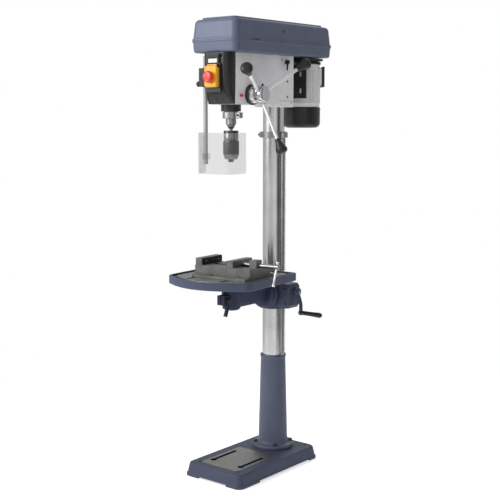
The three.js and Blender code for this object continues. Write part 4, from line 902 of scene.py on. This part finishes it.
def make_bracket():
    # bracket and arm in the darker navy copies: painted shade, the arm darkest as it lies under the table
    from_cad("table_bracket", "navy", 1.4)
    from_cad("table_arm", "deep_navy", 1.6)
    from_cad("lift_gear", "steel", 0.2)
    rows = [((x, -36, z), FRONT, 4, 3) for x, z in ((44, 668), (84, 668), (84, 612))]
    screws("gearbox_screws", socket_screw, rows, "bracket")
    shaft_at, grip_at = (0, 0, CRANK_Z), (0, 2, CRANK_Z - 77)
    shaft = drum(6.9, span("crank")[0].x, 104, 40, shaft_at, RIGHT)
    piece("crank_shaft", shaft, "turned_steel", "crank")
    hub = [(0, 103), (12.6, 103), (14, 104), (14.6, 106), (14.6, 118), (13.8, 120), (12, 121), (0, 121)]
    piece("crank_hub", turned(hub, 48, shaft_at, RIGHT), "navy", "crank", "crank", sharp=50)
    path = [(113, 0, 0), (113.4, 3.6, -9), (114.4, 6, -18), (117.4, 7, -28), (121, 7, -38), (124.2, 6, -48),
            (126, 4, -58), (126.9, 2.6, -66), (127, 2, -73)]
    section = [(copysign(7.6 * abs(across) ** 0.6, across), copysign(4.6 * abs(lift) ** 0.6, lift))
               for across, lift in circle(1)]
    arm = sweep(bmesh.new(), [Vector(p) + Vector(shaft_at) for p in path], section, RIGHT)
    piece("crank_arm", arm, "navy", "crank", sharp=60)
    eye = [(0, 121.6), (8.6, 121.6), (9.6, 122.8), (9.6, 130.6), (8.8, 132), (0, 132)]
    eye = turned(eye, 40, grip_at, RIGHT)
    turn(eye, [(0, 131), (4, 131), (4, 150), (0, 150)], grip_at, RIGHT, 24)
    piece("crank_eye", eye, "navy", "crank", sharp=50)
    nut = turned([(0, 0), (6, 0), (6, 2.6), (5, 3.2), (0, 3.2)], 6, (121, 0, CRANK_Z), RIGHT)
    piece("crank_nut", nut, "steel", "crank")
    grip = [(4.4, 133), (6.4, 133), (7.2, 134), (7.9, 139), (7.9, 150), (8.2, 175), (9.0, 196), (9.6, 207),
            (9.4, 212), (8.4, 216), (6.4, 218.8), (3, 220), (0, 220), (0, 151.5), (4.4, 151.5)]
    grip = hoop(grip, 48, grip_at, RIGHT)
    piece("crank_handle", grip, "black_plastic", "crank_grip", "crank_grip", sharp=60)
    from_cad("column_clamp", "black_plastic", 1.2)
    from_cad("table_lock", "black_plastic", 1.6)


# ---- vise
def make_vise():
    from_cad("vise_body", bevel=1.0)
    from_cad("vise_jaw", bevel=1.0)
    from_cad("vise_screw", "turned_steel", 0.4)
    bar = [(0, -68), (4, -68), (5, -67), (5, -62), (4, -60.6), (3.4, -60), (3.4, 10.4), (4, 11), (5, 12.4),
           (5, 17.4), (4, 18.4), (0, 18.4)]
    handle = turned(bar, 40)
    handle.transform(Matrix.Translation((213, VISE_Y, VISE_Z)) @ Matrix.Rotation(radians(-20), 4, "X"))
    piece("vise_handle", with_table(handle), "bright_rod", "vise_bar", "vise_bar", sharp=50)
    start, end, pitch, sides = 74, 110, 4.0, 24
    path = []
    for i in range(int((end - start) / pitch * sides) + 1):
        angle = 2 * pi * i / sides
        path.append((start + pitch * i / sides, VISE_Y + 7.1 * cos(angle), VISE_Z + 7.1 * sin(angle)))
    thread = sweep(bmesh.new(), path, [(-0.45, -0.6), (0.45, 0), (-0.45, 0.6)], RIGHT)
    piece("vise_thread", with_table(thread), "turned_steel", "vise_screw")
    for name, body, x, way in (("fixed_jaw_plate", "table", -62, 1), ("moving_jaw_plate", "vise_jaw", 45, -1)):
        x0, x1 = sorted((x - way * 0.1, x + way * 3))
        plate = cuboid(x0, x1, -92, 26, 779.5, 800)
        cut = (x0 - 1, x0 + 0.5) if way < 0 else (x1 - 0.5, x1 + 1)
        grooves = [cuboid(*cut, -93, 27, z, z + 0.8) for z in (783, 787, 791, 795)]
        notches = [cuboid(*cut, y, y + 0.8, 779, 801) for y in range(-88, 26, 8)]
        plate = carve(plate, *grooves, *notches)
        piece(name, with_table(plate), "jaw_steel", body, bevel=0.25)
        rows = [((x + way * 2.8, y, 789.5), (way, 0, 0), 3.2) for y in (-70, 4)]
        screws(name + "_screws", pan_screw, rows, body, "steel", place=with_table)
    rows = [((27, VISE_Y + across, 738), UP, 10, 7, 5.6) for across in (-78, 78)]
    screws("vise_bolts", hex_bolt, rows, "table", bevel=0.3, place=with_table)


# ---- switch
def make_switch():
    from_cad("switch_box", "charcoal", 1.2)
    low, high = span("switch_lid")
    from_cad("switch_lid", bevel=1.4)
    rails = bmesh.new()
    for x in (-15.5, 15.5):
        for z0, z1 in ((low.z + 5, low.z + 14), (high.z - 22, high.z - 9)):
            block(rails, x - 3, x + 3, low.y - 0.1, low.y + 1.5, z0, z1)
    piece("switch_lid_ribs", rails, "yellow_plastic", "switch_lid", bevel=0.8)
    low, high = span("stop_knob")
    centre_z = middle("stop_knob").z
    depth = high.y - low.y
    profile = [(0, 0), (12, 0), (16, 0.7), (18.6, 2.4), (19.8, 4.8), (20, 7), (19.6, 10), (18.4, 12), (10, 12.6),
               (6.2, 13), (6.2, depth), (0, depth)]
    mushroom = turned(profile, 72, (0, low.y, centre_z), BACK)
    piece("stop_mushroom", mushroom, "red_plastic", "stop_knob", "stop_knob", sharp=60)
    arrows = bmesh.new()
    for i in range(3):
        for j in range(9):
            a0, a1 = (radians(120 * i + 8 * step) for step in (j, j + 1))
            w0, w1 = (1.3 * min(1.0, (9 - step) / 3) for step in (j, j + 1))
            corners = [(12.4 - w0, a0), (12.4 + w0, a0), (12.4 + w1, a1), (12.4 - w1 + 0.01, a1)]
            points = [Vector((radius * cos(a), low.y - 0.02, centre_z + radius * sin(a))) for radius, a in corners]
            skin(arrows, [points, [p + Vector((0, 0.6, 0)) for p in points]])
    piece("stop_arrows", arrows, "pale_red", "stop_knob")
    from_cad("start_button", "green_plastic", 0.4)
    from_cad("stop_button", "red_plastic", 0.4)
    housing = cuboid(-25, 25, -339, -330.6, 1475, 1494)
    piece("switch_housing", housing, "grey_plastic", bevel=1.2)
    cap = loft([[Vector((x, y, z)) for x, y in ((w, -330.6), (-w, -330.6), (-w, f), (w, f))]
                for z, w, f in ((1493.5, 26, -341), (1503, 29, -342.5), (1507, 29, -342.5))])
    piece("switch_cap", cap, "grey_plastic", bevel=1.0)
    piece("blank_label", cuboid(-19, 19, -339.6, -338.6, 1477, 1490), "label", bevel=0.3)


# ---- chuck guard
def make_guard():
    from_cad("guard_holder", "black_plastic", 1.6)
    centre = middle("guard_knob")
    profile = [(0, 0), (3, 0), (3, 11), (5, 12), (6.4, 14), (8.6, 16.4), (9.8, 20), (10, 22), (9.4, 25),
               (7.4, 27.4), (4, 28.2), (0, 28.2)]
    ball = turned(profile, 48, (span("guard_knob")[1].x, centre.y, centre.z), LEFT)
    piece("guard_ball", ball, "black_plastic", "guard_knob", "guard_knob", sharp=60)
    low, high = span("guard_rod")
    x, y = (low.x + high.x) / 2, (low.y + high.y) / 2
    profile = along(low.z, (0, 0), (8.2, 0), (9, 1), (9, 10), (8.4, 11), (8, 12))
    profile += along(high.z, (8, -2), (6.4, 0), (0, 0))
    piece("guard_post", turned(profile, 64, (x, y, 0)), "zinc_rod", "guard_rod", "guard_rod")
    low, high = span("guard")
    left, right, front, rear = low.x, high.x, low.y, y + 12
    corner_r, bend_r, thickness, arc = 12, 16, 3, 10
    steps = [(corner_r * (1 - cos(t)), corner_r * (1 - sin(t))) for t in quarter(6)]
    lifts = [lift for _, lift in steps] + [0] * 24 + [lift for _, lift in reversed(steps)]

    def wall(inset):
        """Plan of one face of the sheet: left leg, front bends and right leg."""
        points = [(left + inset, rear - back) for back, _ in steps] + [(left + inset, front + bend_r)]
        for centre_x, start in ((left + bend_r, 1), (right - bend_r, 1.5)):
            for angle in (pi * (start + 0.5 * i / arc) for i in range(arc + 1)):
                points.append((centre_x + (bend_r - inset) * cos(angle),
                               front + bend_r + (bend_r - inset) * sin(angle)))
        return points + [(right - inset, GUARD_SIDE_REAR - back) for back, _ in reversed(steps)]

    columns = []
    for (ox, oy), (ix, iy), lift in zip(wall(0), wall(thickness), lifts):
        base = low.z + lift
        columns.append([(ox, oy, base), (ix, iy, base), (ix, iy, high.z), (ox, oy, high.z)])
    piece("guard_sheet", loft(columns), "clear_plastic", "guard", "guard", 0.5)
    clip = loft([ring_of(x - 9.5, x + 13, y - 12, y + 12, 3, z) for z in (1146, 1168)])
    clip = carve(clip, drum(8.3, 1140, 1172, 40, (x, y, 0)))
    piece("guard_clip", clip, "clear_plastic", "guard", bevel=0.5)


for make in (
    make_base, make_column, make_head, make_front_cover, make_belt_cover, make_motor, make_spring_cup,
    make_spindle, make_feed, make_table, make_bracket, make_vise, make_switch, make_guard,
):
    make()


# ---- studio
def make_studio():
    world = bpy.data.worlds.new("studio")
    bpy.context.scene.world = world
    world.use_nodes = True
    tree = world.node_tree

    def new(kind):
        return tree.nodes.new("ShaderNode" + kind)

    room, white = tree.nodes["Background"], new("Background")
    around, ramp, mix = new("TexGradient"), new("ValToRGB"), new("MixShader")
    around.gradient_type = "RADIAL"
    elements = ramp.color_ramp.elements
    for degrees, level in ROOM[1:-1]:
        elements.new((degrees + 180) / 360)
    for element, (degrees, level) in zip(elements, ROOM):
        element.position = (degrees + 180) / 360
        element.color = (level, level, level * 1.02, 1)
    room.inputs["Strength"].default_value = 0.75
    white.inputs["Color"].default_value = (1, 1, 1, 1)
    for source, target in (
        (new("TexCoord").outputs["Generated"], around.inputs["Vector"]),
        (around.outputs["Fac"], ramp.inputs["Fac"]),
        (ramp.outputs["Color"], room.inputs["Color"]),
        (new("LightPath").outputs["Is Camera Ray"], mix.inputs["Fac"]),
        (room.outputs["Background"], mix.inputs[1]),
        (white.outputs["Background"], mix.inputs[2]),
        (mix.outputs["Shader"], tree.nodes["World Output"].inputs["Surface"]),
    ):
        tree.links.new(source, target)

    floor = Nodes("studio floor", grey(0.86), 0.7)
    floor.put({"Specular IOR Level": 0.1, "Emission Color": (1, 1, 1, 1), "Emission Strength": 0.55})
    # what the slots show of the floor lies in the dark under the base: a darker grey patch there, without the
    # floor's glow, is painted shade
    shadow = Nodes("floor under the base", grey(0.3), 0.8)
    for name, bm, ground in (
        ("floor", turned([(0, -0.6), (1700, -0.6)], 96), floor),
        ("floor_patch", cuboid(-100, 100, BASE_LOW.y + 34, BASE_HIGH.y - 34, -0.5, 0.2), shadow),
    ):
        ground.roughness(ground.noise(3, 2), 0.75, 0.9)
        obj = new_object(name, bm)
        obj.data.transform(TO_METRES)
        obj.data.materials.append(ground.material)

    for name, place, aim, size, power in (
        ("key", (-1300, -2600, 2300), (0, -250, 1450), (1.4, 1.4), 66),
        ("rim", (-1100, 2900, 2500), (0, 0, 1000), (1.2, 2.0), 16),
    ):
        light = bpy.data.lights.new(name, "AREA")
        light.shape = "RECTANGLE"
        light.size, light.size_y = size
        light.energy = power
        lamp = bpy.data.objects.new(name, light)
        lamp.location = at(*place)
        lamp.rotation_euler = (at(*aim) - at(*place)).to_track_quat("-Z", "Y").to_euler()
        link(lamp)

    camera = bpy.data.cameras.new("camera")
    camera.sensor_width = 36
    camera.lens = 73.74
    camera.clip_end = 60
    eye = bpy.data.objects.new("camera", camera)
    eye.location = at(2330.3, -2995.5, 1287.7)
    eye.rotation_euler = (radians(90 - 7.3), 0, radians(39.2))
    link(eye)
    bpy.context.scene.camera = eye
    bpy.context.scene.view_settings.view_transform = "Standard"


make_studio()
